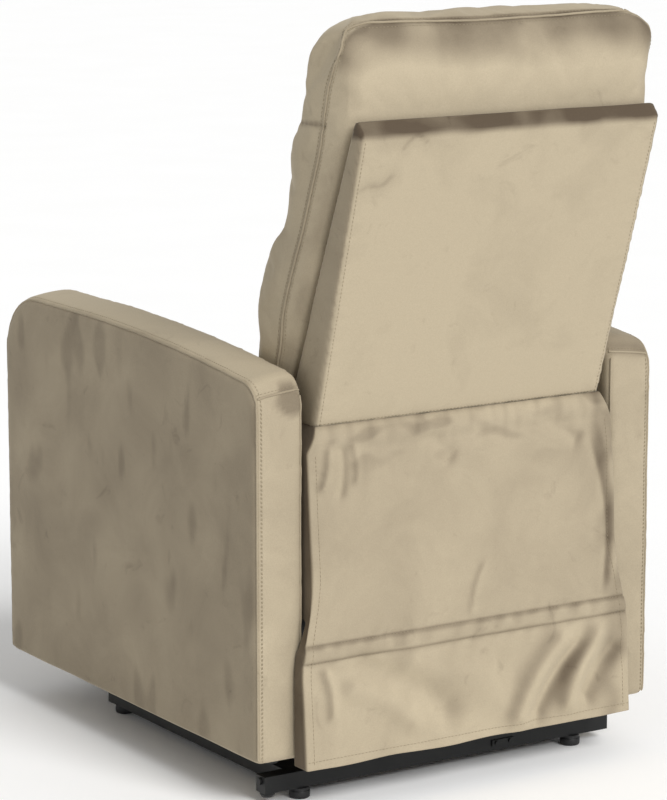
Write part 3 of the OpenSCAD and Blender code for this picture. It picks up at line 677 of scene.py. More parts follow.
def cushion_half(z):
    """Half the cushion's width: held in by the arms below, full above them, rounded at the top."""
    low, high = arm_high.z - 0.010, arm_high.z + 0.070
    t = min(max((z - low) / (high - low), 0), 1)
    half = WAIST_HALF + (CUSHION_HALF - WAIST_HALF) * t * t * (3 - 2 * t)
    corner = 0.045
    over = max(z - (head_high.z - 0.010 - corner), 0) / corner
    return half - corner * (1 - math.sqrt(max(1 - min(over, 1) ** 2, 0))) * 0.8


def cushion_rings():
    """Upright slices of the cushion, from one side to the other; the rolls run out at the sides."""
    rings = []
    kernel = np.ones(17) / 17
    soft_y = np.convolve(np.pad(front_side[:, 0], 8, mode="reflect", reflect_type="odd"), kernel, mode="valid")
    for share in (-1.0, -0.985, -0.95, -0.88, -0.7, -0.35, 0.0, 0.35, 0.7, 0.88, 0.95, 0.985, 1.0):
        edge = abs(share)
        crown = 0.024 * (1 - edge ** 2.4)
        drop = 0.016 * max(0, (edge - 0.88) / 0.12) ** 2
        ring = []
        for (y, z), soft in zip(front_side, soft_y):
            y += (soft - y) * 0.75 * edge ** 5
            lift = 0.005 * (1 - edge ** 2) * (z > 1.07)
            ring.append((share * cushion_half(z), y - crown + drop, z - 0.4 * drop * (z > 1.06) + lift))
        for y, z in rear_side:
            centre = min(panel_front(z) - 0.006, 0.409) if z < 1.07 else y + 0.010
            mix = min(max((1 - edge) / 0.085, 0), 1)
            ring.append((share * cushion_half(z), y + (centre - y) * mix * (2 - mix), z - 0.3 * drop))
        rings.append(ring)
    return rings


def mirror_lines(lines):
    return [[(s * x, y, z) for x, y, z in line] for line in lines for s in (-1, 1)]


side_welt = [(cushion_half(z), y, z) for y, z in rear_side if z > 0.5]
welt_at = (rear_side[::-1, 1], rear_side[::-1, 0])


def front_crease(z, sag):
    """A channel across the front between two rolls."""
    y = float(np.interp(z, front_side[:, 1], front_side[:, 0]))
    return [(s * cushion_half(z), y - 0.014 * (1 - abs(s) ** 4) + 0.008, z - sag * (1 - s * s))
            for s in np.linspace(-0.95, 0.95, 41)]


def side_join(z):
    """The seam that carries a channel on round the side, to the welt."""
    y, welt_y = float(np.interp(z, front_side[:, 1], front_side[:, 0])), float(np.interp(z, *welt_at))
    return [(cushion_half(z) - 0.05 * cushion_half(z) * max(0.25 - t, 0) * 4, y + 0.006 + (welt_y - y - 0.006) * t, z + 0.003 * t)
            for t in np.linspace(0, 1, 12)]


creases = [front_crease(SHOULDER_SEAM, 0.004), front_crease(HEAD_SEAM, 0.006)]
side_joins = mirror_lines([side_join(HEAD_SEAM)])
top_seam = [(s * (CUSHION_HALF - 0.016), 0.386 + 0.010 * (1 - s * s), 1.090 + 0.003 * (1 - s * s))
            for s in np.linspace(-1, 1, 31)]
rear_joins = mirror_lines([[(cushion_half(HEAD_SEAM) - d, float(np.interp(HEAD_SEAM, *welt_at)) + 0.35 * d, HEAD_SEAM)
                            for d in np.linspace(0, 0.05, 8)]])

back_cushion = rings_to_mesh("back_cushion_cover", cushion_rings())
cushion_seams = creases + mirror_lines([side_welt]) + [top_seam]
remesh(back_cushion, 0.0062)


def against_panel(co):
    """The cushion's rear is held by the springs and the panel behind it."""
    flat = co[:, 1] > panel_low.y - 0.016 + (co[:, 2] - panel_low.z) * BACK_LEAN
    return (flat & (co[:, 2] < panel_high.z + 0.004) & (np.abs(co[:, 0]) < 0.24)) * 1.0


inflate(back_cushion, cushion_seams, 0.012, 0.013, 3.4, spare=0.012, hold=against_panel)
relax(back_cushion, 2)
subdivide(back_cushion)
pucker(back_cushion, creases, 0.0016, 0.012, 0.014, groove=0.0035, seed=3)
pucker(back_cushion, side_joins, 0.0005, 0.012, 0.010, groove=0.0014, seed=3)
pucker(back_cushion, mirror_lines([side_welt]) + [top_seam], 0.0005, 0.012, 0.008, groove=0.0014, seed=5)
pucker(back_cushion, rear_joins, 0.0004, 0.010, 0.008, groove=0.0014, seed=5)
roughen(back_cushion, 0.0026, 0.085, 4)
co, normal = points_of(back_cushion), normals_of(back_cushion)
smear = step(wander(co, 0.07, 3), -0.45, 0.5)
# Painted shade on the side faces below the top and the upward faces of the top, then a dark band of painted shade
# across the head roll's rear, with random smears.
nap = 0.10 * step(np.abs(normal[:, 0]), 0.5, 0.9) * step(1.0 - co[:, 2], 0.02, 0.14) + 0.10 * step(normal[:, 2], 0.35, 0.8) * step(co[:, 2], 1.03, 1.08)
nap += step(normal[:, 1], 0.2, 0.7) * step(co[:, 2], 1.020, 1.076) * (0.34 + 0.40 * smear)
# A painted light band across the rear near z 1.012, then painted shade on the rear faces near the sides.
nap -= 0.10 * step(normal[:, 1], 0.2, 0.7) * np.exp(-((co[:, 2] - 1.012) / 0.020) ** 2)
nap += step(normal[:, 1], 0.2, 0.7) * step(np.abs(co[:, 0]), 0.215, 0.255) * (0.10 + 0.22 * smear)
# Painted shade in the creases between the rolls, broken up at random, and along all the seams.
near_crease, _ = nearest_on(co, creases)
nap += 0.30 * np.exp(-near_crease / 0.022) * step(wander(co, 0.03, 8), -0.2, 0.4)
nap += seam_shade(back_cushion, cushion_seams + rear_joins + side_joins)
upholster(back_cushion, "backrest", nap, "back_cushion", fill=0.85)
cushion_welts = welt("back_cushion_welts", back_cushion, mirror_lines([side_welt]) + [top_seam], 0.0018, VELVET)
trim(cushion_welts, "backrest")


def beside(line, shift):
    return [(x + shift[0], y + shift[1], z + shift[2]) for x, y, z in line]


cushion_thread = sew("back_cushion_thread", back_cushion,
                     mirror_lines([beside(side_welt, (0, -0.006, 0)), beside(side_welt, (-0.004, 0.006, 0))])
                     + [beside(top_seam, (0, 0, 0.006)), beside(top_seam, (0, 0.004, -0.006))])
trim(cushion_thread, "backrest")

# --------------------------------------------------------------- rear panel
# A timber wedge behind the back, padded and covered; it is cut in one with its sides, and
# a row of topstitching follows its side and bottom edges.


def wedge_rings():
    half = panel_high.x - 0.003
    y0, z0, z1 = panel_low.y, panel_low.z, panel_high.z
    front_top = (panel_front(z1) - 0.001, z1 - 0.001)
    rear_top = (panel_high.y - 0.002, z1 - 0.021)
    rear_low = (rear_low_y, z0 + 0.002)
    front_low = (y0 + 0.001, z0 + 0.002)
    outline = []
    for a, b, n in ((front_low, front_top, 40), (front_top, rear_top, 4), (rear_top, rear_low, 40), (rear_low, front_low, 6)):
        outline += [(a[0] + (b[0] - a[0]) * i / n, a[1] + (b[1] - a[1]) * i / n) for i in range(n)]
    return [[((half + PANEL_FLARE * (z - z0) / (z1 - z0)) * s, y, z) for y, z in outline] for s in np.linspace(-1, 1, 9)]


PANEL_DEPTH, PANEL_FLARE = 0.081, 0.006
rear_low_y = panel_low.y + PANEL_DEPTH - 0.002
rear_panel = rings_to_mesh("rear_panel_cover", wedge_rings())
bevel = rear_panel.modifiers.new("bevel", "BEVEL")
bevel.width, bevel.segments, bevel.limit_method, bevel.angle_limit = 0.006, 4, "ANGLE", math.radians(25)
apply_modifiers(rear_panel)
remesh(rear_panel, 0.005)
panel_half = panel_high.x - 0.003
panel_corners = [(x, y, z) for x in (-1, 1)
                 for y, z in ((rear_low_y, panel_low.z), (panel_high.y - 0.002, panel_high.z - 0.021))]
panel_corners = [(x * (panel_half + PANEL_FLARE * (z - panel_low.z) / (panel_high.z - panel_low.z)), y, z) for x, y, z in panel_corners]
panel_edge = [panel_corners[1], panel_corners[0], panel_corners[2], panel_corners[3]]
relax(rear_panel, 2)


def crown(piece, depth, half_x, z_range, centre_y, side):
    """Soft rise of padding over a flat face that looks along +Y or -Y."""
    co, normal = points_of(piece), normals_of(piece)
    across = np.clip(1 - (co[:, 0] / half_x) ** 4, 0, 1)
    up = (co[:, 2] - z_range[0]) / (z_range[1] - z_range[0])
    along = np.clip(1 - (2 * up - 1) ** 4, 0, 1)
    facing = np.clip(normal[:, 1] * side - 0.6, 0, 0.4) / 0.4
    set_points(piece, co + normal * (depth * across * along * facing)[:, None])


crown(rear_panel, 0.004, panel_half, (panel_low.z, panel_high.z), 0, 1)
roughen(rear_panel, 0.0010, 0.12, 8)
pucker(rear_panel, [panel_edge], 0.0006, 0.014, 0.02, seed=2)


def panel_rear(z):
    """The rear panel's rear face, in side view."""
    t = (z - panel_low.z) / (panel_high.z - 0.021 - panel_low.z)
    return rear_low_y + (panel_high.y - 0.002 - rear_low_y) * t


# creases left by handling, near the panel's top left corner
handling_marks = [[(x, panel_rear(z) + 0.003, z) for x, z in smooth_line(mark, 3)]
                  for mark in ([(0.236, 0.874), (0.222, 0.881), (0.204, 0.877), (0.190, 0.892)],
                               [(0.178, 0.930), (0.168, 0.943), (0.156, 0.946), (0.142, 0.938)])]
pucker(rear_panel, handling_marks, 0.0006, 0.009, 0.006, groove=0.0008, seed=14)
co, normal = points_of(rear_panel), normals_of(rear_panel)
# Painted shade: a dark band along the top edge, darker towards the top with random strength, and on the side faces.
band = step(co[:, 2] + 0.002 * wander(co, 0.05, 7), panel_high.z - 0.033, panel_high.z - 0.019)
nap = 1.0 * band * (0.85 + 0.20 * step(wander(co, 0.08, 6), -0.3, 0.5))
nap += 0.34 * step(np.abs(normal[:, 0]), 0.4, 0.8)
# Painted shade along the handling creases, random patches near the top, and painted shade along the edge seam.
near_mark, _ = nearest_on(co, handling_marks)
nap += 0.40 * np.exp(-(near_mark / 0.0030) ** 2) + 0.10 * np.exp(-(near_mark / 0.014) ** 2)
nap += 0.12 * step(wander(co, 0.06, 13), 0.1, 0.5) * step(co[:, 2], 0.88, 0.95) * step(normal[:, 1], 0.3, 0.7)
nap += 0.5 * seam_shade(rear_panel, [panel_edge], 0.004)
upholster(rear_panel, "backrest", nap, "back_panel", fill=0.95)


inset = 0.008
left_row = [(panel_half - inset + PANEL_FLARE * (z - panel_low.z) / (panel_high.z - panel_low.z), panel_rear(z), z) for z in np.linspace(panel_low.z + inset, panel_high.z - 0.03, 30)]
low_row = [(x, panel_rear(panel_low.z + inset), panel_low.z + inset) for x in np.linspace(-panel_half + inset, panel_half - inset, 30)]
panel_thread = sew("rear_panel_thread", rear_panel, mirror_lines([left_row]) + [low_row], toward=(0, -1, 0))
trim(panel_thread, "backrest")

# --------------------------------------------------------------------- arms
# A timber carcass under foam, covered by two flat side panels and one long strip that runs
# up the front, over the top and down the rear. The strip is joined at the outer edge by a
# topstitched seam, and it is piped at the inner rear edge.

ARM_FRONT_R, ARM_REAR_R, ARM_FALL = 0.100, 0.042, 0.030


def arm_profile(d, low):
    """Side view of an arm, [y, z], from the front's bottom over the top to the rear's bottom."""
    fall_start = -0.200
    rear_round = arm_high.y - ARM_REAR_R

    def top(y):
        return arm_high.z - (ARM_FALL * ((y - fall_start) / (rear_round - fall_start)) ** 2 if y > fall_start else 0)

    out = [(arm_low.y + d, z) for z in np.linspace(low, arm_high.z - ARM_FRONT_R, 14)[:-1]]
    out += [(arm_low.y + ARM_FRONT_R - (ARM_FRONT_R - d) * math.cos(a),
             arm_high.z - ARM_FRONT_R + (ARM_FRONT_R - d) * math.sin(a)) for a in np.linspace(0, math.pi / 2, 12)]
    out += [(y, top(y) - d) for y in np.linspace(arm_low.y + ARM_FRONT_R, rear_round, 26)[1:-1]]
    out += [(rear_round + (ARM_REAR_R - d) * math.sin(a), top(rear_round) - ARM_REAR_R + (ARM_REAR_R - d) * math.cos(a))
            for a in np.linspace(0.14, math.pi / 2, 8)]
    out += [(arm_high.y - d, z) for z in np.linspace(top(rear_round) - ARM_REAR_R, low, 16)[1:]]
    return out


def build_arm(side, name, node):
    """side is 1 for the sitter's left."""
    inner, outer = arm_low.x + 0.0015, arm_high.x - 0.003
    outline = arm_profile(0.003, arm_low.z + 0.0005)
    rings = [[(side * x, y, z) for y, z in outline] for x in np.linspace(inner, outer, 5)]
    arm = rings_to_mesh(name, rings)
    bevel = arm.modifiers.new("bevel", "BEVEL")
    bevel.width, bevel.segments, bevel.limit_method, bevel.angle_limit = 0.007, 4, "ANGLE", math.radians(50)
    apply_modifiers(arm)
    remesh(arm, 0.0062)
    relax(arm, 2)
    co, normal = points_of(arm), normals_of(arm)
    up = (co[:, 2] - arm_low.z) / (arm_high.z - arm_low.z)
    deep = (co[:, 1] - arm_low.y) / (arm_high.y - arm_low.y)
    swell = np.clip(1 - (2 * up - 1) ** 6, 0, 1) * np.clip(1 - (2 * deep - 1) ** 6, 0, 1)
    flat = np.clip(np.abs(normal[:, 0]) - 0.7, 0, 0.3) / 0.3
    middle = (inner + outer) / 2
    over = np.clip(normal[:, 2] - 0.3, 0, 0.6) / 0.6 * np.clip(1 - ((np.abs(co[:, 0]) - middle) / (middle - inner)) ** 2, 0, 1)
    set_points(arm, co + normal * (0.0022 * swell * flat + 0.003 * over)[:, None])
    roughen(arm, 0.0010, 0.11, 10 + side)

    def slope(points):
        """The padding on top is higher at its inner edge."""
        p = np.array(points, float)
        p[:, 2] += (0.005 + 0.0045 * (middle - np.abs(p[:, 0])) / (middle - inner)) * step(p[:, 2], arm_high.z - 0.15, arm_high.z - 0.05)
        return p

    set_points(arm, slope(points_of(arm)))
    edge = slope([(side * (outer - 0.001), y, z) for y, z in outline])
    inner_edge = slope([(side * (inner + 0.001), y, z) for y, z in outline])
    rear_seam_z = arm_high.z - 0.052
    rear_cross = slope([(side * x, arm_high.y - 0.003, rear_seam_z) for x in np.linspace(inner, outer, 10)])
    pucker(arm, [edge, inner_edge], 0.0007, 0.013, 0.010, groove=0.0010, seed=6 + side)
    pucker(arm, [rear_cross], 0.0005, 0.010, 0.008, groove=0.0012, seed=9)
    co, normal = points_of(arm), normals_of(arm)
    # The outer side gets painted shade with random brushed patches and strokes; the inner side, the right arm's top
    # towards the rear and the rear faces get lighter painted shade; the dark patches low on the rear are random; the
    # seams get painted shade.
    brushed = step(wander(co, 0.10, 20 + side), -0.25, 0.45)
    outside = step(side * normal[:, 0], 0.5, 0.9)
    nap_and_painted_shade = outside * (0.38 + 0.09 * brushed) + 0.10 * step(-side * normal[:, 0], 0.5, 0.9)
    nap_and_painted_shade += 0.20 * outside * step(wander(co * (1, 1.4, 0.45), 0.045, 31 + side), 0.30, 0.62)
    nap_and_painted_shade += 0.50 * (side < 0) * step(normal[:, 2], 0.1, 0.6) * step(co[:, 1], 0.05, 0.22)
    nap_and_painted_shade += (0.13 if side > 0 else 0.19) * step(normal[:, 1], 0.5, 0.9)
    nap_and_painted_shade += 0.45 * step(normal[:, 1], 0.5, 0.9) * step(wander(co, 0.045, 41 + side), 0.22, 0.5) * step(co[:, 2], 0.35, 0.55)
    nap_and_painted_shade += seam_shade(arm, [edge, inner_edge, rear_cross], 0.0028)
    upholster(arm, "chair_frame", nap_and_painted_shade, node, fill=0.95)
    rear_side = [(side * (outer - 0.0015), arm_high.y - 0.003, z) for z in np.linspace(arm_low.z + 0.01, rear_seam_z, 20)]
    rear_inner = [(side * (inner + 0.0015), arm_high.y - 0.003, z) for z in np.linspace(arm_low.z + 0.01, rear_seam_z, 20)]
    trim(welt(name + "_piping", arm, [edge, rear_inner, rear_cross], 0.0016, VELVET), "chair_frame")
    strip = slope([(side * (outer - 0.009), y, z) for y, z in outline])
    rows = [strip, beside(rear_side, (-side * 0.006, 0, 0)), beside(rear_cross, (0, 0, 0.006))]
    trim(sew(name + "_thread", arm, rows), "chair_frame")
    return arm


left_arm = build_arm(1, "left_arm_cover", "arm_cover_left")
right_arm = build_arm(-1, "right_arm_cover", "arm_cover_right")

# ---------------------------------------------------- handset and its pocket
# A patch pocket of the same velvet is sewn on the right arm's outer side, and holds a
# moulded handset with four rubber keys. The keys are the CAD solids.

pocket_low, pocket_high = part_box("handset_pocket")
hand_low, hand_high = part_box("handset")


def soft_box(name, low, high, cuts, bevel_width):
    """A box with its edges rounded off, cut into a fine even grid."""
    grid = [np.linspace(low[k], high[k], cuts[k] + 1) for k in range(3)]
    work = bmesh.new()
    bmesh.ops.create_cube(work, size=1.0)
    for v in work.verts:
        v.co = [low[k] if v.co[k] < 0 else high[k] for k in range(3)]
    bmesh.ops.bevel(work, geom=work.edges[:], offset=bevel_width, segments=4, profile=0.5, affect="EDGES")
    for k in range(3):
        for at in grid[k][1:-1]:
            plane = [0, 0, 0]
            plane[k] = 1
            bmesh.ops.bisect_plane(work, geom=work.verts[:] + work.edges[:] + work.faces[:],
                                   plane_co=[at if j == k else 0 for j in range(3)], plane_no=plane)
    mesh = bpy.data.meshes.new(name)
    work.to_mesh(mesh)
    work.free()
    return new_object(name, mesh)


pocket = soft_box("handset_pocket_cover", (pocket_low.x - 0.001, pocket_low.y, pocket_low.z),
                  (pocket_high.x + 0.001, pocket_high.y, pocket_high.z), (3, 16, 24), 0.003)
remesh(pocket, 0.003)
co = points_of(pocket)
mouth = (co[:, 0] > hand_low.x - 0.001) & (np.abs(co[:, 1] - (hand_low.y + hand_high.y) / 2) < (hand_high.y - hand_low.y) / 2 + 0.001)
sunk = mouth & (co[:, 2] > pocket_high.z - 0.0045)
co[sunk, 2] -= 0.030
set_points(pocket, co)
relax(pocket, 1)
roughen(pocket, 0.0007, 0.03, 15)
hem = [(pocket_low.x, y, pocket_high.z - 0.012) for y in np.linspace(pocket_low.y + 0.004, pocket_high.y - 0.004, 12)]
rim = [(pocket_low.x + 0.004, pocket_low.y, pocket_high.z), (pocket_low.x + 0.004, pocket_low.y, pocket_low.z),
       (pocket_low.x + 0.004, pocket_high.y, pocket_low.z), (pocket_low.x + 0.004, pocket_high.y, pocket_high.z)]
pucker(pocket, [hem], 0.0004, 0.008, 0.006, groove=0.0006, seed=17)
# painted shade along the hem seam, over a random tone
nap = 0.3 + 0.2 * step(wander(points_of(pocket), 0.03, 18), -0.2, 0.4) + seam_shade(pocket, [hem], 0.002)
upholster(pocket, "chair_frame", nap, "handset_pocket", fill=0.2)
trim(sew("handset_pocket_thread", pocket, [hem, beside(rim, (-0.0045, 0, 0))], pitch=0.004, length=0.003,
         radius=0.0004), "chair_frame")

handset = soft_box("handset_shell", hand_low, hand_high, (2, 6, 12), 0.0035)
handset_faces = handset.modifiers.new("round", "SUBSURF")
handset_faces.levels = handset_faces.render_levels = 1
apply_modifiers(handset)
handset.data.materials.append(FINISHES["plastic_black"])
handset.data.shade_smooth()
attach(handset, "handset")
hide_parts("handset")


def key_bezels():
    """A raised ring of moulded plastic round each key."""
    lines = []
    for key_node in ("button_lift", "button_lower", "button_feet", "button_back"):
        low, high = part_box(key_node)
        y, z, r = (low.y + high.y) / 2, (low.z + high.z) / 2, (high.y - low.y) / 2 + 0.0009
        lines.append([(hand_low.x + 0.0001, y + r * math.cos(a), z + r * math.sin(a))
                      for a in np.linspace(0, 2 * math.pi, 33)])
    return lines


bezels = grow(curve_of("handset_key_bezels", key_bezels()), WELT, Radius=0.0006, Material=FINISHES["plastic_black"])
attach(bezels, "handset")

# ------------------------------------------------------------------ springs
# Sinuous springs of 3.8 mm drawn wire, five along the seat and three up the back, each
# clipped to the timber at both ends. They carry the cushions.

WIRE_R, LOOP_PITCH = 0.0019, 0.022
seat_low, seat_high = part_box("seat_springs")


def sinuous(start, end, side, half, count):
    """A snaking wire from start to end, swinging half a width to each side."""
    start, end, side = Vector(start), Vector(end), Vector(side)
    turns = max(2, round((end - start).length / LOOP_PITCH))
    out = []
    for i in range(turns * count + 1):
        t = i / (turns * count)
        swing = math.sin(math.pi * turns * t)
        square = math.copysign(abs(swing) ** 0.55, swing)
        out.append(tuple(start.lerp(end, t) + side * (half - WIRE_R) * square))
    return out


SEAT_ROWS, SEAT_PITCH, SEAT_HALF = 5, 0.084, 0.024
seat_z = (seat_low.z + seat_high.z) / 2
seat_wires = [sinuous((i * SEAT_PITCH, seat_low.y + 0.004, seat_z), (i * SEAT_PITCH, seat_high.y - 0.004, seat_z),
                      (1, 0, 0), SEAT_HALF, 8) for i in range(-2, 3)]
seat_springs = grow(curve_of("sinuous_seat_springs", seat_wires), WELT, Radius=WIRE_R, Material=FINISHES["steel_zinc"])
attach(seat_springs, "seat")
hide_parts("seat_springs")

BACK_PITCH, BACK_HALF = 0.110, 0.022
spring_low, spring_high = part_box("back_springs")
back_wires = [sinuous((i * BACK_PITCH, spring_low.y + 0.0025, spring_low.z + 0.004),
                      (i * BACK_PITCH, spring_high.y - 0.0025, spring_high.z - 0.004),
                      (1, 0, 0), BACK_HALF, 8) for i in range(-1, 2)]
back_springs = grow(curve_of("sinuous_back_springs", back_wires), WELT, Radius=WIRE_R, Material=FINISHES["steel_zinc"])
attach(back_springs, "backrest")
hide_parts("back_springs")

# ------------------------------------------------------------- seat cushion
# Foam block under sewn velvet: a flat seat panel, a rolled front edge marked off by a
# topstitched channel, and boxed sides with a welt along the seat panel's edges.

low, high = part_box("seat_cushion")
SEAT_SIDE = high.x - 0.004
SEAT_TOP, SEAT_BASE = high.z - 0.006, low.z + 0.0005
roll = (SEAT_TOP - SEAT_BASE) / 2
seat_outline = ([(high.y - 0.001, SEAT_BASE), (high.y - 0.001, SEAT_TOP - 0.018), (high.y - 0.016, SEAT_TOP - 0.002)]
                + [(y, SEAT_TOP) for y in np.linspace(high.y - 0.05, low.y + 0.09, 14)]
                + [(low.y + 0.008 + roll - roll * math.sin(a), SEAT_BASE + roll + roll * math.cos(a))
                   for a in np.linspace(0.1, math.pi - 0.1, 15)]
                + [(y, SEAT_BASE) for y in np.linspace(low.y + 0.06, high.y - 0.03, 14)])
seat_cushion = rings_to_mesh("seat_cushion_cover", [[(x, y, z) for y, z in seat_outline]
                                                    for x in np.linspace(-SEAT_SIDE, SEAT_SIDE, 13)])
soften = seat_cushion.modifiers.new("bevel", "BEVEL")
soften.width, soften.segments, soften.limit_method, soften.angle_limit = 0.012, 4, "ANGLE", math.radians(50)
apply_modifiers(seat_cushion)
remesh(seat_cushion, 0.006)
CHANNEL_Y = low.y + 0.115
channel = [(x, CHANNEL_Y - 0.004 * (1 - (x / SEAT_SIDE) ** 2), SEAT_TOP - 0.001) for x in np.linspace(-SEAT_SIDE, SEAT_SIDE, 41)]
front_arc = [(low.y + 0.008 + roll - roll * math.sin(a), SEAT_BASE + roll + roll * math.cos(a))
             for a in np.linspace(0.0, math.pi * 0.9, 14)]
side_seam = ([(SEAT_SIDE - 0.003, y, SEAT_TOP - 0.004) for y in np.linspace(high.y - 0.02, low.y + 0.06, 24)]
             + [(SEAT_SIDE - 0.003, y, z) for y, z in front_arc[1:]])
seat_seams = [channel] + mirror_lines([side_seam])


def on_springs(co):
    return (co[:, 2] < SEAT_BASE + 0.004) * 1.0


inflate(seat_cushion, seat_seams, 0.010, 0.014, 4.0, spare=0.015, hold=on_springs)
relax(seat_cushion, 1)
subdivide(seat_cushion)
co = points_of(seat_cushion)
sit = 0.007 * np.exp(-((co[:, 0] / 0.19) ** 4 + ((co[:, 1] + 0.12) / 0.17) ** 4)) * step(co[:, 2], SEAT_TOP - 0.02, SEAT_TOP)
co[:, 2] -= sit
co[:, 0] = np.clip(co[:, 0], -(arm_low.x - 0.0008), arm_low.x - 0.0008)
set_points(seat_cushion, co)
pucker(seat_cushion, [channel], 0.0014, 0.012, 0.012, groove=0.0040, seed=21)
pucker(seat_cushion, mirror_lines([side_seam]), 0.0007, 0.011, 0.008, groove=0.0010, seed=22)
roughen(seat_cushion, 0.0014, 0.09, 23)
co, normal = points_of(seat_cushion), normals_of(seat_cushion)
# Painted shade on the front and side faces and along the seams; random patches on the top.
nap = 0.16 * step(-normal[:, 1], 0.4, 0.9) + 0.16 * step(np.abs(normal[:, 0]), 0.5, 0.9)
nap += 0.24 * step(wander(co, 0.11, 24), 0.1, 0.5) * step(normal[:, 2], 0.4, 0.8)
nap += seam_shade(seat_cushion, seat_seams)
upholster(seat_cushion, "seat", nap, "seat_cushion", fill=0.8)
trim(welt("seat_cushion_welts", seat_cushion, mirror_lines([side_seam]), 0.0022, VELVET), "seat")
trim(sew("seat_cushion_thread", seat_cushion,
         [beside(channel, (0, 0.005, 0)), beside(channel, (0, -0.005, 0))]
         + mirror_lines([beside(side_seam, (-0.007, 0, 0))])), "seat")

# The seat frame's front rail, wrapped in the same velvet
rail_low, rail_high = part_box("seat_frame")
rail_cover = soft_box("seat_rail_cover", (rail_low.x - 0.001, rail_low.y - 0.0025, rail_low.z - 0.001),
                      (rail_high.x + 0.001, rail_low.y + 0.022, rail_high.z + 0.001), (48, 3, 5), 0.0035)
rail_nap = 0.25 + 0.2 * step(wander(points_of(rail_cover), 0.05, 29), -0.1, 0.4)
upholster(rail_cover, "seat", rail_nap, fill=0.95)

# A padded flap behind the seat closes the gap under the back cushion, and slides with the seat
FLAP_REACH, FLAP_THICK, FLAP_UNDER = 0.075, 0.012, 0.010
flap = soft_box("seat_rear_flap", (-SEAT_SIDE + 0.002, high.y - 0.0006, SEAT_BASE + FLAP_UNDER),
                (SEAT_SIDE - 0.002, high.y + FLAP_REACH, SEAT_BASE + FLAP_UNDER + FLAP_THICK), (48, 8, 2), 0.0045)
flap_nap = 0.35 + 0.2 * step(wander(points_of(flap), 0.05, 31), -0.1, 0.4)
upholster(flap, "seat", flap_nap, fill=0.6)

# ------------------------------------------------------------- footrest pad
# A thin foam pad on the plywood footrest board. One sewn channel across its middle splits
# it into two rolls, and the cover is pulled round the board's edges and over its back.

low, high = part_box("footrest_pad")
board_low, board_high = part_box("footrest_board")
high.y = board_high.y + 0.0006
PAD_SIDE = high.x - 0.0008
front_r = 0.014
pad_outline = ([(high.y, low.z + 0.0008), (high.y, high.z - 0.0008)]
               + [(board_low.y, high.z - 0.0008)]
               + [(low.y + 0.004 + front_r * (1 - math.sin(a)), high.z - 0.0008 - front_r * (1 - math.cos(a)))
                  for a in (0.3, 0.8, 1.3)]
               + [(low.y + 0.004, z) for z in np.linspace(high.z - 0.02, low.z + 0.02, 22)]
               + [(low.y + 0.004 + front_r * (1 - math.sin(a)), low.z + 0.0008 + front_r * (1 - math.cos(a)))
                  for a in (1.3, 0.8, 0.3)]
               + [(board_low.y, low.z + 0.0008)])
footrest_pad = rings_to_mesh("footrest_pad_cover", [[(x, y, z) for y, z in pad_outline]
                                                    for x in np.linspace(-PAD_SIDE, PAD_SIDE, 13)])
remesh(footrest_pad, 0.005)
middle_z = (low.z + high.z) / 2
pad_channel = [(x, low.y + 0.004, middle_z) for x in np.linspace(-PAD_SIDE, PAD_SIDE, 41)]
pad_front = (low.y + 0.004, low.z + 0.012, high.z - 0.012)
pad_rim = [(x, board_low.y, z) for x, z in ((-PAD_SIDE, low.z), (PAD_SIDE, low.z), (PAD_SIDE, high.z),
                                            (-PAD_SIDE, high.z), (-PAD_SIDE, low.z))]


def on_board(co):
    return (co[:, 1] > board_low.y - 0.003) * 1.0


inflate(footrest_pad, [pad_channel, pad_rim], 0.009, 0.012, 4.0, spare=0.02, hold=on_board)
relax(footrest_pad, 1)
subdivide(footrest_pad)
co = points_of(footrest_pad)
co[:, 0] = np.clip(co[:, 0], -(arm_low.x - 0.0008), arm_low.x - 0.0008)
co[:, 1] = np.minimum(co[:, 1], high.y)
set_points(footrest_pad, co)
pucker(footrest_pad, [pad_channel], 0.0016, 0.012, 0.014, groove=0.0030, seed=26)
co, normal = points_of(footrest_pad), normals_of(footrest_pad)
# Painted shade on the faces turned up and down and along the channel, over a random tone.
nap = 0.14 + 0.22 * step(wander(co, 0.09, 27), 0.05, 0.5) + 0.2 * step(np.abs(normal[:, 2]), 0.5, 0.9)
nap += seam_shade(footrest_pad, [pad_channel])
upholster(footrest_pad, "ottoman", nap, "footrest_pad", fill=0.75)
trim(sew("footrest_pad_thread", footrest_pad, [beside(pad_channel, (0, -0.01, 0.005)), beside(pad_channel, (0, -0.01, -0.005))]),
     "ottoman")

# -------------------------------------------------------------------- skirt
# Loose velvet that closes the rear below the panel. It is sewn to the panel's bottom edge,
# held to the arms' rear by its side hems, and tucked into a band above its own bottom hem.

skirt_low, skirt_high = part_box("skirt_lower")
HEM_Z, TOP_Z = skirt_low.z, panel_low.z + 0.006
BAND_HIGH, BAND_LOW = 0.2385, 0.2145
KNEE_Z = panel_low.z - 0.030
SKIRT_ACROSS, SKIRT_DOWN = 171, 141
WIDE = skirt_high.x - 0.001
SIDE_RETURN = 0.036


def skirt_half(z):
    """Half the width: inside the arms above the band, and lapped over them below it."""
    inside = arm_low.x - 0.0015
    if z > KNEE_Z:
        return panel_half - 0.002 + (inside - panel_half + 0.002) * (TOP_Z - z) / (TOP_Z - KNEE_Z)
    t = min(max((BAND_HIGH + 0.10 - z) / 0.15, 0), 1)
    return inside + (WIDE - inside) * t * t * (3 - 2 * t)


def skirt_rear(z):
    knee_y = arm_high.y + 0.0042
    if z > KNEE_Z:
        t = (TOP_Z - z) / (TOP_Z - KNEE_Z)
        return panel_rear(TOP_Z) + (knee_y - panel_rear(TOP_Z)) * t + 0.006 * math.sin(math.pi * t) * (1 - 0.4 * t)
    return knee_y + (skirt_high.y - 0.002 - knee_y) * (KNEE_Z - z) / (KNEE_Z - HEM_Z)


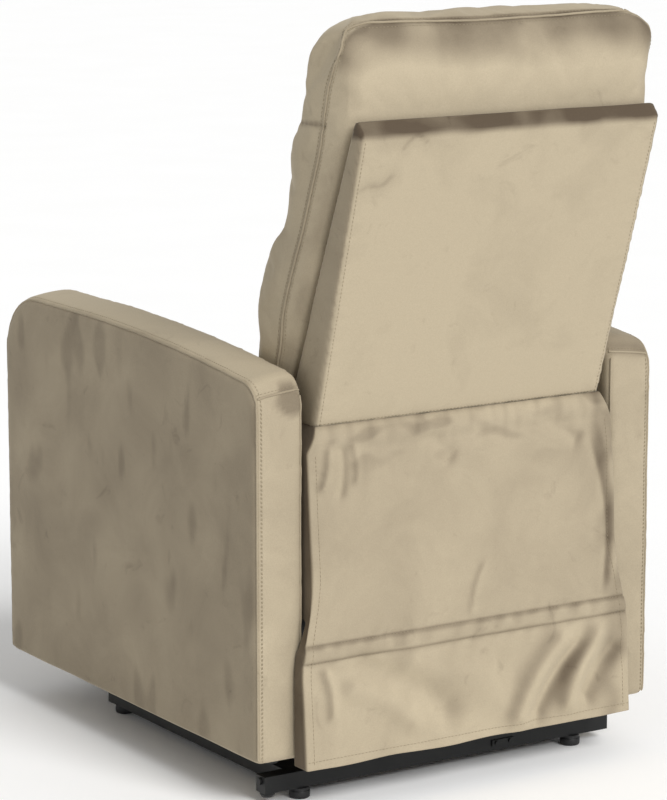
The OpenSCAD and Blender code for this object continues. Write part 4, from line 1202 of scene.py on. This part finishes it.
# Folds that the hanging cloth has taken: ends [x, z, x, z], width, and height (or depth)
FOLDS = [(-0.070, 0.076, -0.170, 0.200, 0.018, 0.0090), (-0.108, 0.080, -0.205, 0.185, 0.014, -0.0070),
         (-0.160, 0.084, -0.232, 0.200, 0.017, 0.0085), (-0.196, 0.092, -0.262, 0.170, 0.018, -0.0080),
         (0.205, 0.206, 0.030, 0.104, 0.022, -0.0070), (0.215, 0.178, 0.090, 0.098, 0.018, 0.0055),
         (0.120, 0.205, -0.060, 0.110, 0.026, 0.0050), (0.246, 0.205, 0.236, 0.130, 0.008, 0.0040),
         (0.225, 0.510, 0.240, 0.450, 0.007, 0.0030), (0.205, 0.512, 0.210, 0.440, 0.007, -0.0026),
         (0.186, 0.515, 0.182, 0.455, 0.006, 0.0024), (-0.004, 0.246, -0.030, 0.318, 0.006, 0.0018),
         (-0.236, 0.500, -0.246, 0.250, 0.011, 0.0036), (-0.222, 0.470, -0.236, 0.260, 0.006, -0.0022),
         (-0.140, 0.515, -0.200, 0.470, 0.012, -0.0028), (0.060, 0.512, 0.020, 0.470, 0.012, -0.0026)]


def fold_height(x, z):
    out = 0.0
    for x0, z0, x1, z1, width, height in FOLDS:
        dx, dz = x1 - x0, z1 - z0
        t = ((x - x0) * dx + (z - z0) * dz) / (dx * dx + dz * dz)
        bend = 0.07 * math.hypot(dx, dz) * math.sin(3.0 * t)
        off = ((x - x0) * dz - (z - z0) * dx) / math.hypot(dx, dz) - bend
        out += height * math.exp(-(off / width) ** 2) * math.exp(-(max(abs(t - 0.5) - 0.38, 0) / 0.13) ** 2)
    return out


def drape(x, z):
    """How far the loose cloth stands out from its plane."""
    below = min(max((BAND_LOW - z) / 0.03, 0), 1)
    above = min(max((z - BAND_HIGH) / 0.04, 0), 1) * min(max((TOP_Z - z) / 0.05, 0), 1)
    band = math.exp(-((z - (BAND_HIGH + BAND_LOW) / 2) / 0.0105) ** 6)
    out = band * (0.0022 + 0.0012 * noise.noise(Vector((x / 0.020, z / 0.03, 1.0))))
    for row in (BAND_HIGH, BAND_LOW):
        out -= 0.0016 * math.exp(-((z - row) / 0.0028) ** 2)
        gather = math.exp(-abs(z - row) / 0.014)
        out += 0.0011 * gather * noise.noise(Vector(((x + 0.4 * z) / 0.024, row * 9, 6.0)))
    out += below * 0.0022 * noise.noise(Vector(((x + 0.5 * z) / 0.07, z / 0.22, 2.0)))
    out += above * 0.0026 * noise.noise(Vector(((x + 0.7 * z) / 0.11, z / 0.30, 3.0)))
    near_top = math.exp(-((TOP_Z - z) / 0.035) ** 2)
    out += near_top * 0.0022 * noise.noise(Vector((x / 0.018, z / 0.05, 4.0)))
    return out + fold_height(x, z) * (1 - math.exp(-((TOP_Z - z) / 0.012) ** 2))


def skirt_mesh():
    verts, nap_and_painted_shade = [], []
    for j in range(SKIRT_DOWN):
        v = j / (SKIRT_DOWN - 1)
        z = TOP_Z + (HEM_Z - TOP_Z) * v
        half = skirt_half(z)
        for i in range(SKIRT_ACROSS):
            s = 2 * i / (SKIRT_ACROSS - 1) - 1
            run = abs(s) * (half + SIDE_RETURN)
            x = math.copysign(min(run, half), s)
            forward = max(run - half, 0)
            round_edge = 0.004 * (1 - math.exp(-forward / 0.004))
            y = skirt_rear(z) + drape(x, z) * math.exp(-forward / 0.006) - forward
            x += math.copysign(0.0012 - 0.3 * round_edge, s)
            tuck = min(max((0.016 - (half - arm_low.x)) / 0.010, 0), 1) * min(forward / 0.006, 1)
            x -= math.copysign(max(abs(x) - arm_low.x + 0.0012, 0) * tuck, s)
            if abs(x) > arm_low.x - 0.0005:
                y = max(y, arm_high.y + 0.0012)
            wave = 0.002 * noise.noise(Vector((x / 0.09, 0.0, 9.0))) * max(v - 0.9, 0) / 0.1
            verts.append((x, y, z + wave))
            # Fold flanks sloping one way get painted shade and the other way painted light, and cloth deep in the gap
            # beside the arms gets painted shade, over a base tone darker above the band.
            tilt = (drape(x + 0.003, z) - drape(x - 0.003, z)) / 0.006
            rise = (drape(x, z + 0.003) - drape(x, z - 0.003)) / 0.006
            in_gap = min(forward / 0.005, 1)
            nap_and_painted_shade.append(0.13 + 0.11 * (z > BAND_LOW) + 0.9 * max(-tilt - 0.5 * rise, 0) - 0.25 * max(tilt, 0) + 0.8 * in_gap)
    faces = [(j * SKIRT_ACROSS + i, (j + 1) * SKIRT_ACROSS + i, (j + 1) * SKIRT_ACROSS + i + 1, j * SKIRT_ACROSS + i + 1)
             for j in range(SKIRT_DOWN - 1) for i in range(SKIRT_ACROSS - 1)]
    mesh = bpy.data.meshes.new("rear_skirt")
    mesh.from_pydata(verts, [], faces)
    return new_object("rear_skirt", mesh), np.array(nap_and_painted_shade)


skirt, nap_and_painted_shade = skirt_mesh()
co = points_of(skirt)
nap_and_painted_shade += 0.22 * step(wander(co * (1, 1, 2.2), 0.05, 51), 0.1, 0.45) * step(co[:, 2], 0.44, 0.51)
nap_and_painted_shade += 0.30 * step(-co[:, 0], 0.215, 0.250) * step(wander(co, 0.06, 52), -0.4, 0.2)
# painted shade along the band's two seam rows and the top seam
for row in (BAND_HIGH, BAND_LOW, TOP_Z - 0.001):
    nap_and_painted_shade += 0.34 * np.exp(-((co[:, 2] - row) / 0.0020) ** 2)
set_nap_and_painted_shade(skirt, np.clip(nap_and_painted_shade, -0.1, 0.9))
thick = skirt.modifiers.new("thickness", "SOLIDIFY")
thick.thickness, thick.offset = 0.0016, 0
apply_modifiers(skirt)
subdivide(skirt)
skirt.data.materials.append(VELVET)
skirt.data.shade_smooth()
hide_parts("skirt_lower", "skirt_upper")


def across_skirt(z, inset=0.99):
    return [(s * skirt_half(z) * inset, skirt_rear(z) + 0.012, z) for s in np.linspace(-1, 1, 60)]


def down_skirt(inset):
    return [(skirt_half(z) - inset, skirt_rear(z) + 0.012, z) for z in np.linspace(HEM_Z + 0.01, KNEE_Z, 50)]


skirt_thread = sew("rear_skirt_thread", skirt, [across_skirt(BAND_HIGH), across_skirt(BAND_LOW), across_skirt(HEM_Z + 0.012)]
                   + mirror_lines([down_skirt(0.011)]), toward=(0, -1, 0))
skirt_thread.data.shade_smooth()
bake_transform(skirt)
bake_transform(skirt_thread)
